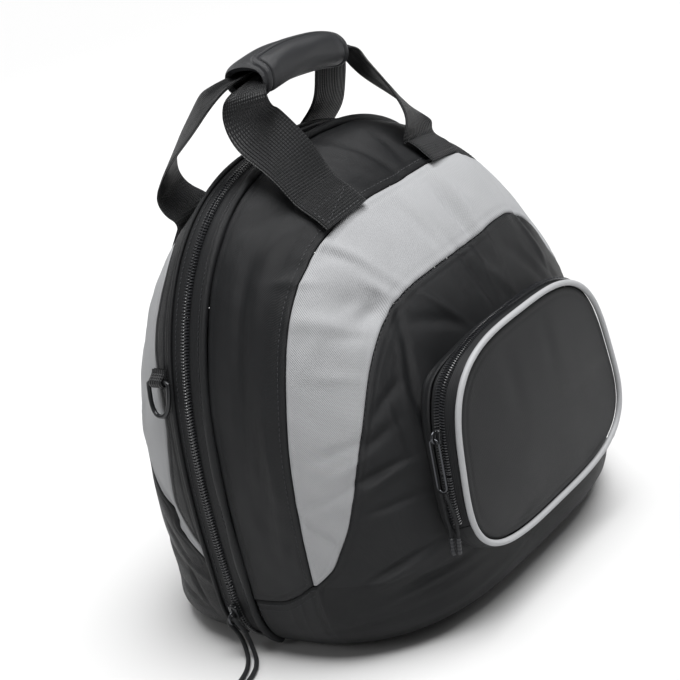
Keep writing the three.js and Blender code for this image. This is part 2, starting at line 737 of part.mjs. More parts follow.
// A ring of points across the arch: each has a place along Y and a height above the arch
function archRing(length, profile) {
  const angle = angleAtLength(length);
  const arch = archPoint(angle);
  const before = archPoint(angleAtLength(length - 1));
  const after = archPoint(angleAtLength(length + 1));
  const run = new THREE.Vector2(after.x - before.x, after.z - before.z).normalize();
  return profile.map(([y, rise]) => {
    const z = Math.max(arch.z + run.x * rise, seamGap);
    return new THREE.Vector3(arch.x - run.y * rise, y, z);
  });
}

function archSweep(profile) {
  const steps = 40;
  const start = lengthAtAngle(footAngle(zipFootHeight));
  const end = 2 * crownLength - start;
  return loft(evenSteps(steps).map((share) => archRing(mix(start, end, share), profile)));
}

function ovalProfile(middle, rise, halfWidth, halfHeight, sides) {
  return Array.from({ length: sides }, (_, k) => {
    const turn = (k / sides) * fullTurn;
    return [middle + halfWidth * Math.cos(turn), rise + halfHeight * Math.sin(turn)];
  });
}

function buildMainZip() {
  const tapeTop = -zipRecess;
  const tapeLow = tapeTop - zipTapeThickness;
  const tape = (near, far) => [[near, tapeLow], [far, tapeLow], [far, tapeTop], [near, tapeTop]];
  const frontNear = coilHalfWidth + seamGap;
  const frontFar = frontNear + zipTapeWidthFront;
  const backFar = frontNear + zipTapeWidthBack;
  addPiece('main_zip_tape_front', archSweep(tape(-frontNear, -frontFar)), blackWebbing);
  addPiece('main_zip_tape_back', archSweep(tape(frontNear, backFar)), blackWebbing);
  const coil = ovalProfile(0, tapeTop, coilHalfWidth, coilHalfHeight, 5);
  addPiece('main_zip_coil', archSweep(coil), blackNylon);
  const frontWelt = ovalProfile(-frontWeltMiddle, 0, frontWeltRadius, frontWeltRadius, 6);
  addPiece('front_welt', archSweep(frontWelt), blackCloth);
  const backWelt = ovalProfile(backWeltMiddle, 0, backWeltRadius, backWeltRadius, 6);
  addPiece('back_welt', archSweep(backWelt), blackCloth);
}

buildMainZip();

// A block with rounded corners, its length along X, its width along Y, its foot on Z = 0
function sliderBody(length, width, thickness) {
  const corner = width * 0.3;
  const shape = new THREE.Shape();
  shape.moveTo(-length / 2 + corner, -width / 2);
  shape.lineTo(length / 2 - corner, -width / 2);
  shape.quadraticCurveTo(length / 2, -width / 2, length / 2, -width / 2 + corner);
  shape.lineTo(length / 2, width / 2 - corner);
  shape.quadraticCurveTo(length / 2, width / 2, length / 2 - corner, width / 2);
  shape.lineTo(-length / 2 + corner, width / 2);
  shape.quadraticCurveTo(-length / 2, width / 2, -length / 2, width / 2 - corner);
  shape.lineTo(-length / 2, -width / 2 + corner);
  shape.quadraticCurveTo(-length / 2, -width / 2, -length / 2 + corner, -width / 2);
  return new THREE.ExtrudeGeometry(shape, { depth: thickness, bevelEnabled: false, curveSegments: 2 });
}

// Rings of a round wire along a route of points, its flat side rings square to the route
function wireRings(route, radius, sides, isLoop = false) {
  const count = route.length;
  let side = null;
  return route.map((point, k) => {
    const before = isLoop ? route[(k + count - 1) % count] : route[Math.max(k - 1, 0)];
    const after = isLoop ? route[(k + 1) % count] : route[Math.min(k + 1, count - 1)];
    const run = new THREE.Vector3().subVectors(after, before).normalize();
    if (side === null) {
      side = Math.abs(run.y) < 0.9 ? new THREE.Vector3(0, 1, 0) : new THREE.Vector3(1, 0, 0);
    }
    side = side.clone().addScaledVector(run, -side.dot(run)).normalize();
    const other = new THREE.Vector3().crossVectors(run, side);
    return Array.from({ length: sides }, (_, j) => {
      const turn = ((j + 0.5) / sides) * fullTurn;
      return point.clone()
        .addScaledVector(side, radius * Math.cos(turn))
        .addScaledVector(other, radius * Math.sin(turn));
    });
  });
}

// A group that stands on a surface: its X along run, its Z along outward
function standOn(origin, run, outward) {
  const along = run.clone().normalize();
  const up = outward.clone().addScaledVector(along, -outward.dot(along)).normalize();
  const across = new THREE.Vector3().crossVectors(up, along);
  const group = new THREE.Group();
  group.applyMatrix4(new THREE.Matrix4().makeBasis(along, across, up).setPosition(origin));
  bag.add(group);
  return group;
}

// Half ring of wire that stands up from a slider, its feet apart along X
function bailGeometry(radius, wireRadius) {
  const route = evenSteps(8).map((share) => {
    const turn = Math.PI * share;
    return new THREE.Vector3(radius * Math.cos(turn), 0, radius * Math.sin(turn));
  });
  return loft(wireRings(route, wireRadius, 6));
}

function buildMainSlider() {
  const angle = footAngle(zipSliderHeight);
  const length = lengthAtAngle(angle);
  const [foot, over] = archRing(length, [[0, 0], [0, 1]]);
  const [next] = archRing(length - 1, [[0, 0]]);
  const outward = new THREE.Vector3().subVectors(over, foot);
  const run = new THREE.Vector3().subVectors(next, foot);
  const lift = coilHalfHeight - zipRecess + seamGap;
  const slider = standOn(foot.clone().addScaledVector(outward, lift), run, outward);
  const body = sliderBody(zipSliderLength, zipSliderWidth, zipSliderThickness);
  addPiece('main_zip_slider', body, darkMetal, slider);
  const bail = addPiece('main_zip_bail', bailGeometry(mainBailRadius, bailWireRadius), darkMetal, slider);
  bail.position.set(mainBailDrop, 0, zipSliderThickness + seamGap);
}

buildMainSlider();

// Pocket
const pocketColumns = 44;

function pocketEdge(turn, grow) {
  const side = Math.cos(turn);
  const up = Math.sin(turn);
  const rise = signedPower(up, 2 / pocketPower);
  const width = (pocketHalfWidth + grow) * (1 - pocketTaper * rise);
  return {
    x: width * signedPower(side, 2 / pocketPower),
    z: pocketHeight + (pocketHalfHeight + grow) * rise,
  };
}

// A point of the pocket's side wall. across goes from 0 on the bag to 1 behind the piping
function gussetPoint(turn, across, lift = 0) {
  const flare = pocketFlare(Math.sin(turn));
  const seat = pocketEdge(turn, flare);
  const bodyDepth = frontHalf.depth * faceShare(frontHalf, seat.x, seat.z);
  const rear = bodyDepth + seamGap + wallThickness / 2;
  const front = pocketReach - pipingRadius - seamGap;
  const swell = 2 * Math.sin(Math.PI * across);
  const grow = flare * (1 - across) + swell + lift;
  const edge = pocketEdge(turn, grow);
  return new THREE.Vector3(edge.x, -mix(Math.min(rear, front - 2), front, across), edge.z);
}

function gussetStrip(turns, shares, joins) {
  const place = (lift) => (i, j) => gussetPoint(turns[i], shares[j], lift);
  return sheet({
    columns: joins ? turns.length : turns.length - 1,
    rows: shares.length - 1,
    outer: place(0),
    inner: place(-pocketWall),
    joins,
  });
}

const zipTurnStart = -0.35;
const zipTurnEnd = Math.PI - zipTurnStart;
const zipAcross = 0.62;
const gussetSeam = 0.32;
const gussetSlit = 0.026;

function buildPocket() {
  const allTurns = Array.from({ length: pocketColumns }, (_, k) => (k / pocketColumns) * fullTurn);
  addPiece('pocket_gusset', gussetStrip(allTurns, [0, gussetSeam / 2, gussetSeam - gussetSlit], true), blackCloth);
  const zipTurns = evenSteps(28).map((share) => mix(zipTurnStart, zipTurnEnd, share));
  addPiece('pocket_zip_tape', gussetStrip(zipTurns, [gussetSeam + gussetSlit, 1], false), blackWebbing);
  const low = 0.01;
  const footTurns = evenSteps(16).map((share) => {
    return mix(zipTurnEnd + low, zipTurnStart + fullTurn - low, share);
  });
  addPiece('pocket_bottom_strip', gussetStrip(footTurns, [gussetSeam + gussetSlit, 1], false), blackCloth);
  const coilRings = zipTurns.slice(1, -1).map((turn) => {
    const middle = gussetPoint(turn, zipAcross, 0);
    const up = gussetPoint(turn, zipAcross, 1).sub(middle).normalize();
    const side = gussetPoint(turn, zipAcross + 0.05, 0).sub(middle).normalize();
    const rise = pocketCoilHeight / 2 + coilSeat;
    return ovalProfile(0, rise, pocketCoilHalfWidth, pocketCoilHeight / 2, 6).map(([across, height]) => {
      return middle.clone().addScaledVector(side, across).addScaledVector(up, height);
    });
  });
  addPiece('pocket_zip_coil', loft(coilRings), blackNylon);
  const pipingRings = allTurns.map((turn) => {
    const middle = pocketEdge(turn, 0);
    const over = pocketEdge(turn, 1);
    const out = new THREE.Vector3(over.x - middle.x, 0, over.z - middle.z).normalize();
    return ovalProfile(0, 0, pipingRadius, pipingRadius, 6).map(([across, height]) => {
      const ring = new THREE.Vector3(middle.x, -pocketReach + height, middle.z);
      return ring.addScaledVector(out, across);
    });
  });
  addPiece('pocket_piping', loft(pipingRings, true), greyPiping);
}

buildPocket();

function buildPocketFace() {
  const rows = 3;
  const grow = -(pipingRadius + seamGap);
  const place = (back) => (i, j) => {
    const share = 1 - j / rows;
    const edge = pocketEdge((i / pocketColumns) * fullTurn, grow);
    const bulge = pocketCrown * (1 - share * share);
    return new THREE.Vector3(
      edge.x * share,
      -pocketReach - bulge + back,
      mix(pocketHeight, edge.z, share),
    );
  };
  const face = sheet({
    columns: pocketColumns,
    rows,
    outer: place(0),
    inner: place(pocketFaceThickness),
    joins: true,
  });
  addPiece('pocket_face', face, blackCloth);
}

buildPocketFace();

// The pocket's slider sits on the coil of its left side, with a wire puller hanging from it
function buildPocketSlider() {
  let turn = Math.PI;
  while (pocketEdge(turn, 0).z < pocketSliderHeight) {
    turn -= 0.002;
  }
  const middle = gussetPoint(turn, zipAcross, 0);
  const outward = gussetPoint(turn, zipAcross, 1).sub(middle).normalize();
  const run = gussetPoint(turn + 0.02, zipAcross, 0).sub(middle);
  const lift = pocketCoilHeight + coilSeat + 2 * seamGap;
  const seat = middle.clone().addScaledVector(outward, lift);
  const slider = standOn(seat, run, outward);
  const body = sliderBody(pocketSliderLength, pocketSliderWidth, pocketSliderThickness);
  addPiece('pocket_zip_slider', body, darkMetal, slider);
  const bail = addPiece('pocket_zip_bail', bailGeometry(bailRadius, bailWireRadius), darkMetal, slider);
  bail.position.z = pocketSliderThickness + seamGap;
}

buildPocketSlider();

// Long loop of wire that hangs from the pocket's slider
function buildPuller() {
  const top = new THREE.Vector3(-109.3, -160.1, 156.05);
  const end = (pullerWidth - 2 * pullerWireRadius) / 2;
  const straight = pullerLength - 2 * pullerWireRadius - 2 * end;
  const route = [];
  for (const [middle, start] of [[0, 0], [-straight, Math.PI]]) {
    for (const share of evenSteps(6)) {
      const turn = start + Math.PI * share;
      const drop = middle + end * Math.sin(turn) - end;
      route.push(new THREE.Vector3(
        top.x + pullerLean * drop,
        top.y + end * Math.cos(turn),
        top.z + drop,
      ));
    }
  }
  addPiece('pocket_puller', loft(wireRings(route, pullerWireRadius, 6, true), true), darkMetal);
}

buildPuller();

// Cords: one tube a leg, and a moulded end on each
function buildCords() {
  for (const [name, points] of Object.entries(cordRoutes)) {
    const radius = name.startsWith('main') ? mainCordRadius : pocketCordRadius;
    const curve = new THREE.CatmullRomCurve3(points.map((point) => new THREE.Vector3(...point)));
    const section = new THREE.Shape();
    section.absarc(0, 0, radius, 0, fullTurn, false);
    const steps = Math.round(curve.getLength() / (5 * radius));
    const tube = new THREE.ExtrudeGeometry(section, { steps, curveSegments: 4, extrudePath: curve });
    addPiece(name, tube, blackCord);
    const run = curve.getTangent(1);
    const start = curve.getPoint(1).addScaledVector(run, seamGap);
    start.z = Math.max(start.z, cordEndRadius + seamGap);
    const end = start.clone().addScaledVector(run, cordEndLength);
    end.z = Math.max(end.z, cordEndRadius + seamGap);
    const rings = evenSteps(2).map((share) => start.clone().lerp(end, share));
    addPiece(name.replace('pull_cord', 'cord_end'), loft(wireRings(rings, cordEndRadius, 8)), blackPlastic);
  }
}

buildCords();

// Handles
function anchorStation(half, side, reach) {
  const x = side * handleHalfSpan;
  const lift = webbingThickness / 2 + seamGap + anchorPadding;
  const z = roofHeight(half, x, reach);
  const slope = (roofHeight(half, x + 3, reach) - roofHeight(half, x - 3, reach)) / 6;
  const fall = (roofHeight(half, x, reach + 3) - roofHeight(half, x, reach - 3)) / 6;
  const outward = new THREE.Vector3(-slope, -fall * half.sign, 1).normalize();
  return {
    point: new THREE.Vector3(x, half.sign * reach, z).addScaledVector(outward, lift),
    across: new THREE.Vector3(1, 0, slope).normalize(),
    width: webbingWidth,
  };
}

function legStations(half, side, leg, start, end) {
  const anchors = [end, (start + end) / 2, start].map((reach) => anchorStation(half, side, reach));
  const stations = leg.map((row) => {
    const turn = row.turn * degrees;
    const across = anchors[2].across.clone().multiplyScalar(-side * Math.sin(turn));
    across.y += half.sign * Math.cos(turn);
    return {
      point: new THREE.Vector3(
        side * row.out * handleHalfSpan,
        half.sign * row.reach * half.depth,
        row.rise * bagHeight,
      ),
      across,
      width: webbingWidth * row.width,
    };
  });
  return [...anchors, ...stations.reverse()];
}

function wrapLevel(x) {
  const place = x - wrapMiddle;
  return wrapHeight + wrapArch * (1 - (2 * place / wrapLength) ** 2) - wrapTilt * place;
}

// One webbing from its left sewn end, up through the wrap and down to its right sewn end
function buildHandle(name, half, leftLeg, rightLeg, start, end) {
  const left = legStations(half, -1, leftLeg, start, end);
  const right = legStations(half, 1, rightLeg, start, end);
  right.slice(0, 3).forEach((station) => station.across.negate());
  const middle = [-0.6, 0, 0.6].map((share) => {
    const x = wrapMiddle + share * wrapLength / 2;
    return {
      point: new THREE.Vector3(x, wrapOffset + half.sign * wrapLane, wrapLevel(x)),
      across: new THREE.Vector3(0, half.sign, 0),
      width: webbingWidth * wrapGather,
    };
  });
  const stations = [...left, ...middle, ...right.reverse()];
  const curveOf = (pick) => new THREE.CatmullRomCurve3(stations.map(pick), false, 'centripetal');
  const path = curveOf((station) => station.point);
  const acrossPath = curveOf((station) => station.across);
  const widthPath = stations.map((station) => station.width);
  const last = stations.length - 1;
  const rings = evenSteps(Math.round(1.6 * last)).map((share) => {
    const point = path.getPoint(share);
    const run = path.getTangent(share);
    const across = acrossPath.getPoint(share);
    across.addScaledVector(run, -across.dot(run)).normalize();
    const row = Math.min(Math.floor(share * last), last - 1);
    const width = mix(widthPath[row], widthPath[row + 1], share * last - row);
    const thickness = webbingThickness * (1 + foldBulk * (1 - width / webbingWidth));
    const over = new THREE.Vector3().crossVectors(run, across).multiplyScalar(thickness / 2);
    const side = across.multiplyScalar(width / 2);
    const corner = (a, b) => point.clone().addScaledVector(side, a).addScaledVector(over, b);
    return [corner(-1, -1), corner(1, -1), corner(1, 1), corner(-1, 1)];
  });
  addPiece(name, loft(rings), blackWebbing);
}

buildHandle(
  'front_handle_webbing', frontHalf, frontLeftLeg, frontRightLeg,
  frontAnchorStart, frontAnchorEnd,
);
buildHandle(
  'back_handle_webbing', backHalf, backLeftLeg, backRightLeg,
  backAnchorStart, backAnchorEnd,
);

// The wrap is an oval sleeve round both handles
function buildWrap() {
  const columns = 16;
  const rows = 6;
  const power = 2 / 2.6;
  const place = (inset) => (i, j) => {
    const turn = (i / columns) * fullTurn;
    const x = wrapMiddle + mix(-wrapLength / 2, wrapLength / 2, j / rows);
    const isOuter = inset === 0;
    const rounding = isOuter ? wrapEndRounding * Math.abs(2 * j / rows - 1) ** 6 : 0;
    const halfWidth = wrapWidth / 2 - inset - rounding;
    const halfDepth = wrapDepth / 2 - inset - rounding;
    return new THREE.Vector3(
      x,
      wrapOffset + halfWidth * signedPower(Math.cos(turn), power),
      wrapLevel(x) + halfDepth * signedPower(Math.sin(turn), power),
    );
  };
  const sleeve = sheet({ columns, rows, outer: place(0), inner: place(wrapWall), joins: true });
  addPiece('handle_wrap', sleeve, blackCloth);
}

buildWrap();

// D-ring: it hangs from a bar in the loop of its tab, and leans on the bag's side.
// The group's X points down the bag's side, its Z away from the bag and its Y along the bar.
function buildRing() {
  const angle = sideAngle(ringHeight);
  const share = ringOffset / backHalf.depth;
  const seat = bodyPoint(backHalf, angle, share);
  const lower = bodyPoint(backHalf, angle + 0.06, share);
  const down = new THREE.Vector3(lower.x - seat.x, 0, lower.z - seat.z).normalize();
  const outward = new THREE.Vector3(down.z, 0, -down.x);
  const loopRadius = ringWireRadius + ringClearance + tabLayer;
  const bar = seat.clone().addScaledVector(outward, loopRadius + ringLift);
  const side = standOn(bar, down, outward);
  addPiece('d_ring', ringGeometry(), darkMetal, side);
  addPiece('d_ring_tab', tabGeometry(loopRadius), blackWebbing, side);
}

function ringGeometry() {
  const halfBar = ringWidth / 2 - ringWireRadius;
  const corner = 2.5;
  const route = [];
  for (const share of evenSteps(2)) {
    route.push(new THREE.Vector3(0, mix(-halfBar + corner, halfBar - corner, share), 0));
  }
  const bow = ringDrop - 2 * ringWireRadius;
  const rounding = 8;
  for (const share of evenSteps(16)) {
    const turn = Math.PI * share;
    const x = corner * 0.5 + (bow - corner * 0.5) * Math.abs(Math.sin(turn)) ** 0.75;
    route.push(new THREE.Vector3(x, halfBar * signedPower(Math.cos(turn), rounding / 10), 0));
  }
  return loft(wireRings(route, ringWireRadius, 6, true), true);
}

// A strip of webbing folded round the bar, seen from its side, with its two ends sewn to the bag
function tabGeometry(loopRadius) {
  const tongue = 2 * tabLayer;
  const shape = new THREE.Shape();
  shape.moveTo(-tabLength, -loopRadius);
  shape.lineTo(0, -loopRadius);
  shape.absarc(0, 0, loopRadius, -Math.PI / 2, Math.PI * 0.62, false);
  shape.lineTo(-loopRadius - 2, -loopRadius + tongue);
  shape.lineTo(-tabLength, -loopRadius + tongue);
  shape.closePath();
  const hole = new THREE.Path();
  hole.absarc(0, 0, ringWireRadius + ringClearance, 0, fullTurn, true);
  shape.holes.push(hole);
  const tab = new THREE.ExtrudeGeometry(shape, {
    depth: tabWidth, bevelEnabled: false, curveSegments: 6,
  });
  tab.translate(0, 0, -tabWidth / 2);
  tab.rotateX(Math.PI / 2);
  return tab;
}

buildRing();

export default bag;
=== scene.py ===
"""Looks of a zip-round helmet bag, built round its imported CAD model."""

from __future__ import annotations

import logging
import math
from dataclasses import dataclass, field, replace
from enum import Enum
from functools import lru_cache
from typing import Any, Sequence

import bmesh
import bpy
import numpy as np
from mathutils import Matrix, Vector


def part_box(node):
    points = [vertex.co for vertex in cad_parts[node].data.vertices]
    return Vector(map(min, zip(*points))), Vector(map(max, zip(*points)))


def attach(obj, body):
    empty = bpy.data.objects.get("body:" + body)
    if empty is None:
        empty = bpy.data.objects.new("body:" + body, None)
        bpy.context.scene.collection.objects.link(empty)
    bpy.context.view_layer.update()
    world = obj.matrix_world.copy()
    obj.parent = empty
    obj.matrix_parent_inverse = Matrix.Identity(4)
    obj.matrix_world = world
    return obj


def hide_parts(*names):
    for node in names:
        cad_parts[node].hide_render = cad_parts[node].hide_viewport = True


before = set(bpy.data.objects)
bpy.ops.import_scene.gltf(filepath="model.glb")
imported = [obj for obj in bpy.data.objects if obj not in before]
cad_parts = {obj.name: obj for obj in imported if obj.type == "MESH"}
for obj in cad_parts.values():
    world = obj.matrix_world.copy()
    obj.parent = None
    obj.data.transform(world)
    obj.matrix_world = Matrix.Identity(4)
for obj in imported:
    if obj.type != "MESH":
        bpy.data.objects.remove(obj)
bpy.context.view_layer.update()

LOG = logging.getLogger("helmet_bag")
MM = 0.001
TURN = 2 * math.pi
BODY = "bag"
RING_BODY = "ring"
# The middle line of the bag's zip lies this far behind the model's origin, in millimetres
FRAME_SHIFT = 23.5
# A row of stitches lies this far from its seam, in millimetres
STITCH_ROW = 5.2


def linear_rgb(colour: str) -> tuple[float, float, float, float]:
    """Turn an sRGB hex colour to linear.

    Args:
        colour: six hex digits.

    Returns:
        Linear red, green, blue and a full alpha.
    """
    parts = [int(colour[k:k + 2], 16) / 255 for k in (0, 2, 4)]
    return (*[c / 12.92 if c <= 0.04045 else ((c + 0.055) / 1.055) ** 2.4 for c in parts], 1.0)


def add_node(tree: bpy.types.NodeTree, kind: str, links: dict[Any, Any] | None = None,
             inputs: dict[Any, Any] | None = None, **settings: Any) -> bpy.types.Node:
    """Add one node with its settings and links.

    Args:
        tree: the node tree that gets it.
        kind: the node's Blender type name.
        links: output sockets by the name or number of the input they go to.
        inputs: values by the name or number of the input that gets them.
        **settings: attributes of the node.

    Returns:
        The new node.
    """
    node = tree.nodes.new(kind)
    for key, value in settings.items():
        setattr(node, key, value)
    for key, value in (inputs or {}).items():
        node.inputs[key].default_value = value
    for key, socket in (links or {}).items():
        tree.links.new(socket, node.inputs[key])
    return node


def placed(name: str, data: Any) -> bpy.types.Object:
    """Make an object of some data and link it to the scene.

    Args:
        name: the object's name.
        data: its mesh, light or camera.

    Returns:
        The new object.
    """
    thing = bpy.data.objects.new(name, data)
    bpy.context.scene.collection.objects.link(thing)
    return thing


class Pattern(Enum):
    """How the surface of a finish was made."""

    PLAIN_WEAVE = "plain weave"
    TWILL = "twill"
    RIBBED_WEAVE = "ribbed weave"
    BRAID = "braid"
    MOULDED = "moulded"


@dataclass(frozen=True)
class Finish:
    """One material: what it is, how it was made and what the eye sees of that."""

    name: str
    slot: str
    colour: str
    pattern: Pattern
    spacing: float
    relief: float
    roughness: float
    ior: float = 1.5
    metallic: float = 0.0
    specular: float = 0.5
    sheen: float = 0.0
    sheen_roughness: float = 0.45
    coat: float = 0.0
    # How much the colour varies at random, and how strongly the pattern's pits are darkened as painted shade
    mottle_and_pit_shade: float = 0.1
    mottle_size: float = 30.0

    def _wave(self, tree: bpy.types.NodeTree,
              socket: bpy.types.NodeSocket) -> bpy.types.NodeSocket:
        """Make a sine of one texture coordinate.

        Args:
            tree: the material's nodes.
            socket: the coordinate, in metres.

        Returns:
            The sine's output socket.
        """
        scaled = add_node(tree, "ShaderNodeMath", {0: socket}, {1: TURN / (self.spacing * MM)},
                          operation="MULTIPLY")
        return add_node(tree, "ShaderNodeMath", {0: scaled.outputs[0]}, operation="SINE").outputs[0]

    def _height(self, tree: bpy.types.NodeTree) -> bpy.types.NodeSocket:
        """Make the height of the pattern.

        Args:
            tree: the material's nodes.

        Returns:
            A height from about 0 to 1.
        """
        if self.pattern is Pattern.MOULDED:
            place = add_node(tree, "ShaderNodeTexCoord")
            return add_node(tree, "ShaderNodeTexNoise", {"Vector": place.outputs["Object"]},
                            {"Scale": 1 / (self.spacing * MM), "Detail": 2.0}).outputs[0]
        cut = add_node(tree, "ShaderNodeSeparateXYZ",
                       {0: add_node(tree, "ShaderNodeUVMap", uv_map="cloth").outputs[0]})
        along, across = cut.outputs[0], cut.outputs[1]
        if self.pattern is Pattern.BRAID:
            slants = [add_node(tree, "ShaderNodeMath", {0: along, 1: across}, operation=operation)
                      for operation in ("ADD", "SUBTRACT")]
            first, second = (self._wave(tree, slant.outputs[0]) for slant in slants)
            return add_node(tree, "ShaderNodeMath", {0: first, 1: second},
                            operation="MULTIPLY").outputs[0]
        if self.pattern is Pattern.TWILL:
            slant = add_node(tree, "ShaderNodeMath", {0: along, 1: across}, operation="ADD")
            return self._wave(tree, slant.outputs[0])
        warp = self._wave(tree, across)
        weft = self._wave(tree, along)
        if self.pattern is Pattern.RIBBED_WEAVE:
            # Each rib is a row of small floats, so the weft only nicks it
            nicks = add_node(tree, "ShaderNodeMath", {0: weft}, {1: 0.25}, operation="MULTIPLY")
            return add_node(tree, "ShaderNodeMath", {0: warp, 1: nicks.outputs[0]},
                            operation="ADD").outputs[0]
        return add_node(tree, "ShaderNodeMath", {0: warp, 1: weft}, operation="MULTIPLY").outputs[0]

    @lru_cache(maxsize=None)
    def material(self) -> bpy.types.Material:
        """Build the material once.

        Returns:
            The Blender material.
        """
        material = bpy.data.materials.new(self.name)
        material.use_nodes = True
        tree = material.node_tree
        tree.nodes.clear()
        place = add_node(tree, "ShaderNodeTexCoord")
        cloud = add_node(tree, "ShaderNodeTexNoise", {"Vector": place.outputs["Object"]},
                         {"Scale": 1 / (self.mottle_size * MM), "Detail": 5.0, "Roughness": 0.6})
        height = self._height(tree)
        base = linear_rgb(self.colour)
        dark = [c * (1 - self.mottle_and_pit_shade) for c in base[:3]] + [1.0]
        light = [min(1.0, c * (1 + self.mottle_and_pit_shade)) for c in base[:3]] + [1.0]
        shades = add_node(tree, "ShaderNodeMix", {"Factor": cloud.outputs[0]}, data_type="RGBA")
        shades.inputs[6].default_value = dark
        shades.inputs[7].default_value = light
        # Painted shade and highlight: the pits between the threads are darkened and the threads' tops
        # lightened, standing in for the weave's own light and shade
        lift = add_node(tree, "ShaderNodeMapRange", {0: height},
                        {1: -1.0, 2: 1.0, 3: 1 - 0.6 * self.mottle_and_pit_shade, 4: 1 + 0.6 * self.mottle_and_pit_shade})
        tone = add_node(tree, "ShaderNodeVectorMath", {0: shades.outputs[2], 1: lift.outputs[0]},
                        operation="MULTIPLY")
        gloss = add_node(tree, "ShaderNodeMapRange", {0: cloud.outputs[0]},
                         {3: max(0.05, self.roughness - 0.06), 4: min(1.0, self.roughness + 0.06)})
        bump = add_node(tree, "ShaderNodeBump", {"Height": height},
                        {"Strength": 1.0, "Distance": self.relief * MM})
        shader = add_node(tree, "ShaderNodeBsdfPrincipled",
                          {"Base Color": tone.outputs[0], "Roughness": gloss.outputs[0],
                           "Normal": bump.outputs[0]},
                          {"IOR": self.ior, "Metallic": self.metallic,
                           "Specular IOR Level": self.specular, "Sheen Weight": self.sheen,
                           "Sheen Roughness": self.sheen_roughness, "Coat Weight": self.coat})
        add_node(tree, "ShaderNodeOutputMaterial", {"Surface": shader.outputs[0]})
        return material


# Woven polyester, dull and slightly fuzzy: light spreads softly over the folds. Threads are
# 0.5 mm apart in fact and drawn at 1.1 mm, so that the weave just shows.
BLACK_CLOTH = Finish("black_woven_polyester", "black_cloth", "141517", Pattern.PLAIN_WEAVE,
                     1.1, 0.1, 0.46, specular=0.3, sheen=0.01, mottle_and_pit_shade=0.3)
# The hand wrap's cloth is calendered: the same weave, smoother, with a soft sheen. Its colour is set lighter
# than the black cloth's, as painted light for the brighter look that the ceiling light gives the wrap's top
WRAP_CLOTH_LIT_COPY = Finish("black_calendered_polyester_lit_copy", "black_cloth", "232427", Pattern.PLAIN_WEAVE,
                    1.1, 0.08, 0.4, specular=0.45, sheen=0.02, mottle_and_pit_shade=0.2)
# The same weight of cloth in light grey, woven as a twill: fine slanting lines, about 0.7 mm
# apart in fact and drawn at 1.7 mm, and a soft gloss on its folds.
GREY_CLOTH = Finish("grey_woven_polyester", "grey_cloth", "a5a6a8", Pattern.TWILL,
                    1.7, 0.14, 0.6, specular=0.35, sheen=0.02, mottle_and_pit_shade=0.07)
# Flat zip tape, woven finer than the webbing, with a dull face
BLACK_TAPE = Finish("black_woven_zip_tape", "black_webbing", "151618", Pattern.RIBBED_WEAVE,
                    1.2, 0.07, 0.6, specular=0.3, sheen=0.03)
# Polypropylene webbing: ribs run along the strap, with a low gloss on each. They are 1.6 mm
# apart in fact and drawn at 2.2 mm, so that they show.
BLACK_WEBBING = Finish("black_ribbed_webbing", "black_webbing", "141517", Pattern.RIBBED_WEAVE,
                       2.2, 0.5, 0.45, specular=0.4, sheen=0.02, mottle_and_pit_shade=0.5)
# Satin-covered piping: a light strip with a soft gloss
GREY_PIPING = Finish("grey_satin_piping", "grey_piping", "a9aaac", Pattern.PLAIN_WEAVE,
                     0.8, 0.03, 0.45, specular=0.4, sheen=0.02, mottle_and_pit_shade=0.04)
# Drawn nylon wire wound into a zip's coil: smooth, so each turn has a bright line
BLACK_NYLON = Finish("black_drawn_nylon_coil", "black_nylon", "242528", Pattern.MOULDED,
                     0.6, 0.01, 0.28, ior=1.53, specular=0.7)
# Braided polyester cord: a diamond pattern of strands, 1.6 mm apart
BLACK_CORD = Finish("black_braided_polyester", "black_cord", "1a1b1d", Pattern.BRAID,
                    1.6, 0.12, 0.55, specular=0.3, sheen=0.03)
# Die-cast zinc under black paint: a clear but softened reflection
DARK_METAL = Finish("black_painted_die_cast_zinc", "dark_metal", "2a2b2d", Pattern.MOULDED,
                    0.8, 0.01, 0.32, metallic=0.6, coat=0.3)
# The puller's wire is bare and shows more light than the painted slider
BRIGHT_METAL = Finish("dark_nickel_plated_wire", "dark_metal", "4c4d50", Pattern.MOULDED,
                      0.8, 0.01, 0.3, metallic=1.0)
# Moulded cord ends: satin plastic with a faint grain
BLACK_PLASTIC = Finish("black_moulded_abs", "black_plastic", "26272a", Pattern.MOULDED,
                       0.4, 0.02, 0.4)
# Twisted polyester sewing thread: a touch lighter than the cloth that it sinks into
BLACK_THREAD = Finish("black_twisted_thread", "black_cloth", "2e2f32", Pattern.MOULDED,
                      0.3, 0.02, 0.5)


def signed_power(value: np.ndarray, power: float) -> np.ndarray:
    """Raise the size of each number to a power and keep its sign."""
    return np.sign(value) * np.abs(value) ** power


def smooth_step(value: np.ndarray) -> np.ndarray:
    """Ease from 0 to 1 as the value goes from 0 to 1."""
    t = np.clip(value, 0, 1)
    return t * t * (3 - 2 * t)


def unit(vectors: np.ndarray) -> np.ndarray:
    """Scale the vectors on the last axis to length 1."""
    return vectors / np.maximum(np.linalg.norm(vectors, axis=-1, keepdims=True), 1e-9)


def table_value(keys: Sequence[float], values: Sequence[float], place: np.ndarray) -> np.ndarray:
    """Read a table smoothly.

    Args:
        keys: the key column, rising.
        values: the column that is read.
        place: where to read it.

    Returns:
        The values there.
    """
    k, v = np.asarray(keys, float), np.asarray(values, float)
    place = np.clip(place, k[0], k[-1])
    row = np.clip(np.searchsorted(k, place, side="left") - 1, 0, len(k) - 2)
    low = np.maximum(np.arange(len(k)) - 1, 0)
    high = np.minimum(np.arange(len(k)) + 1, len(k) - 1)
    slope = (v[high] - v[low]) / (k[high] - k[low])
    span = k[row + 1] - k[row]
    t = (place - k[row]) / span
    bend = 3 * t * t - 2 * t ** 3
    return (v[row] + (v[row + 1] - v[row]) * bend
            + t * (1 - t) ** 2 * span * slope[row] + t * t * (t - 1) * span * slope[row + 1])


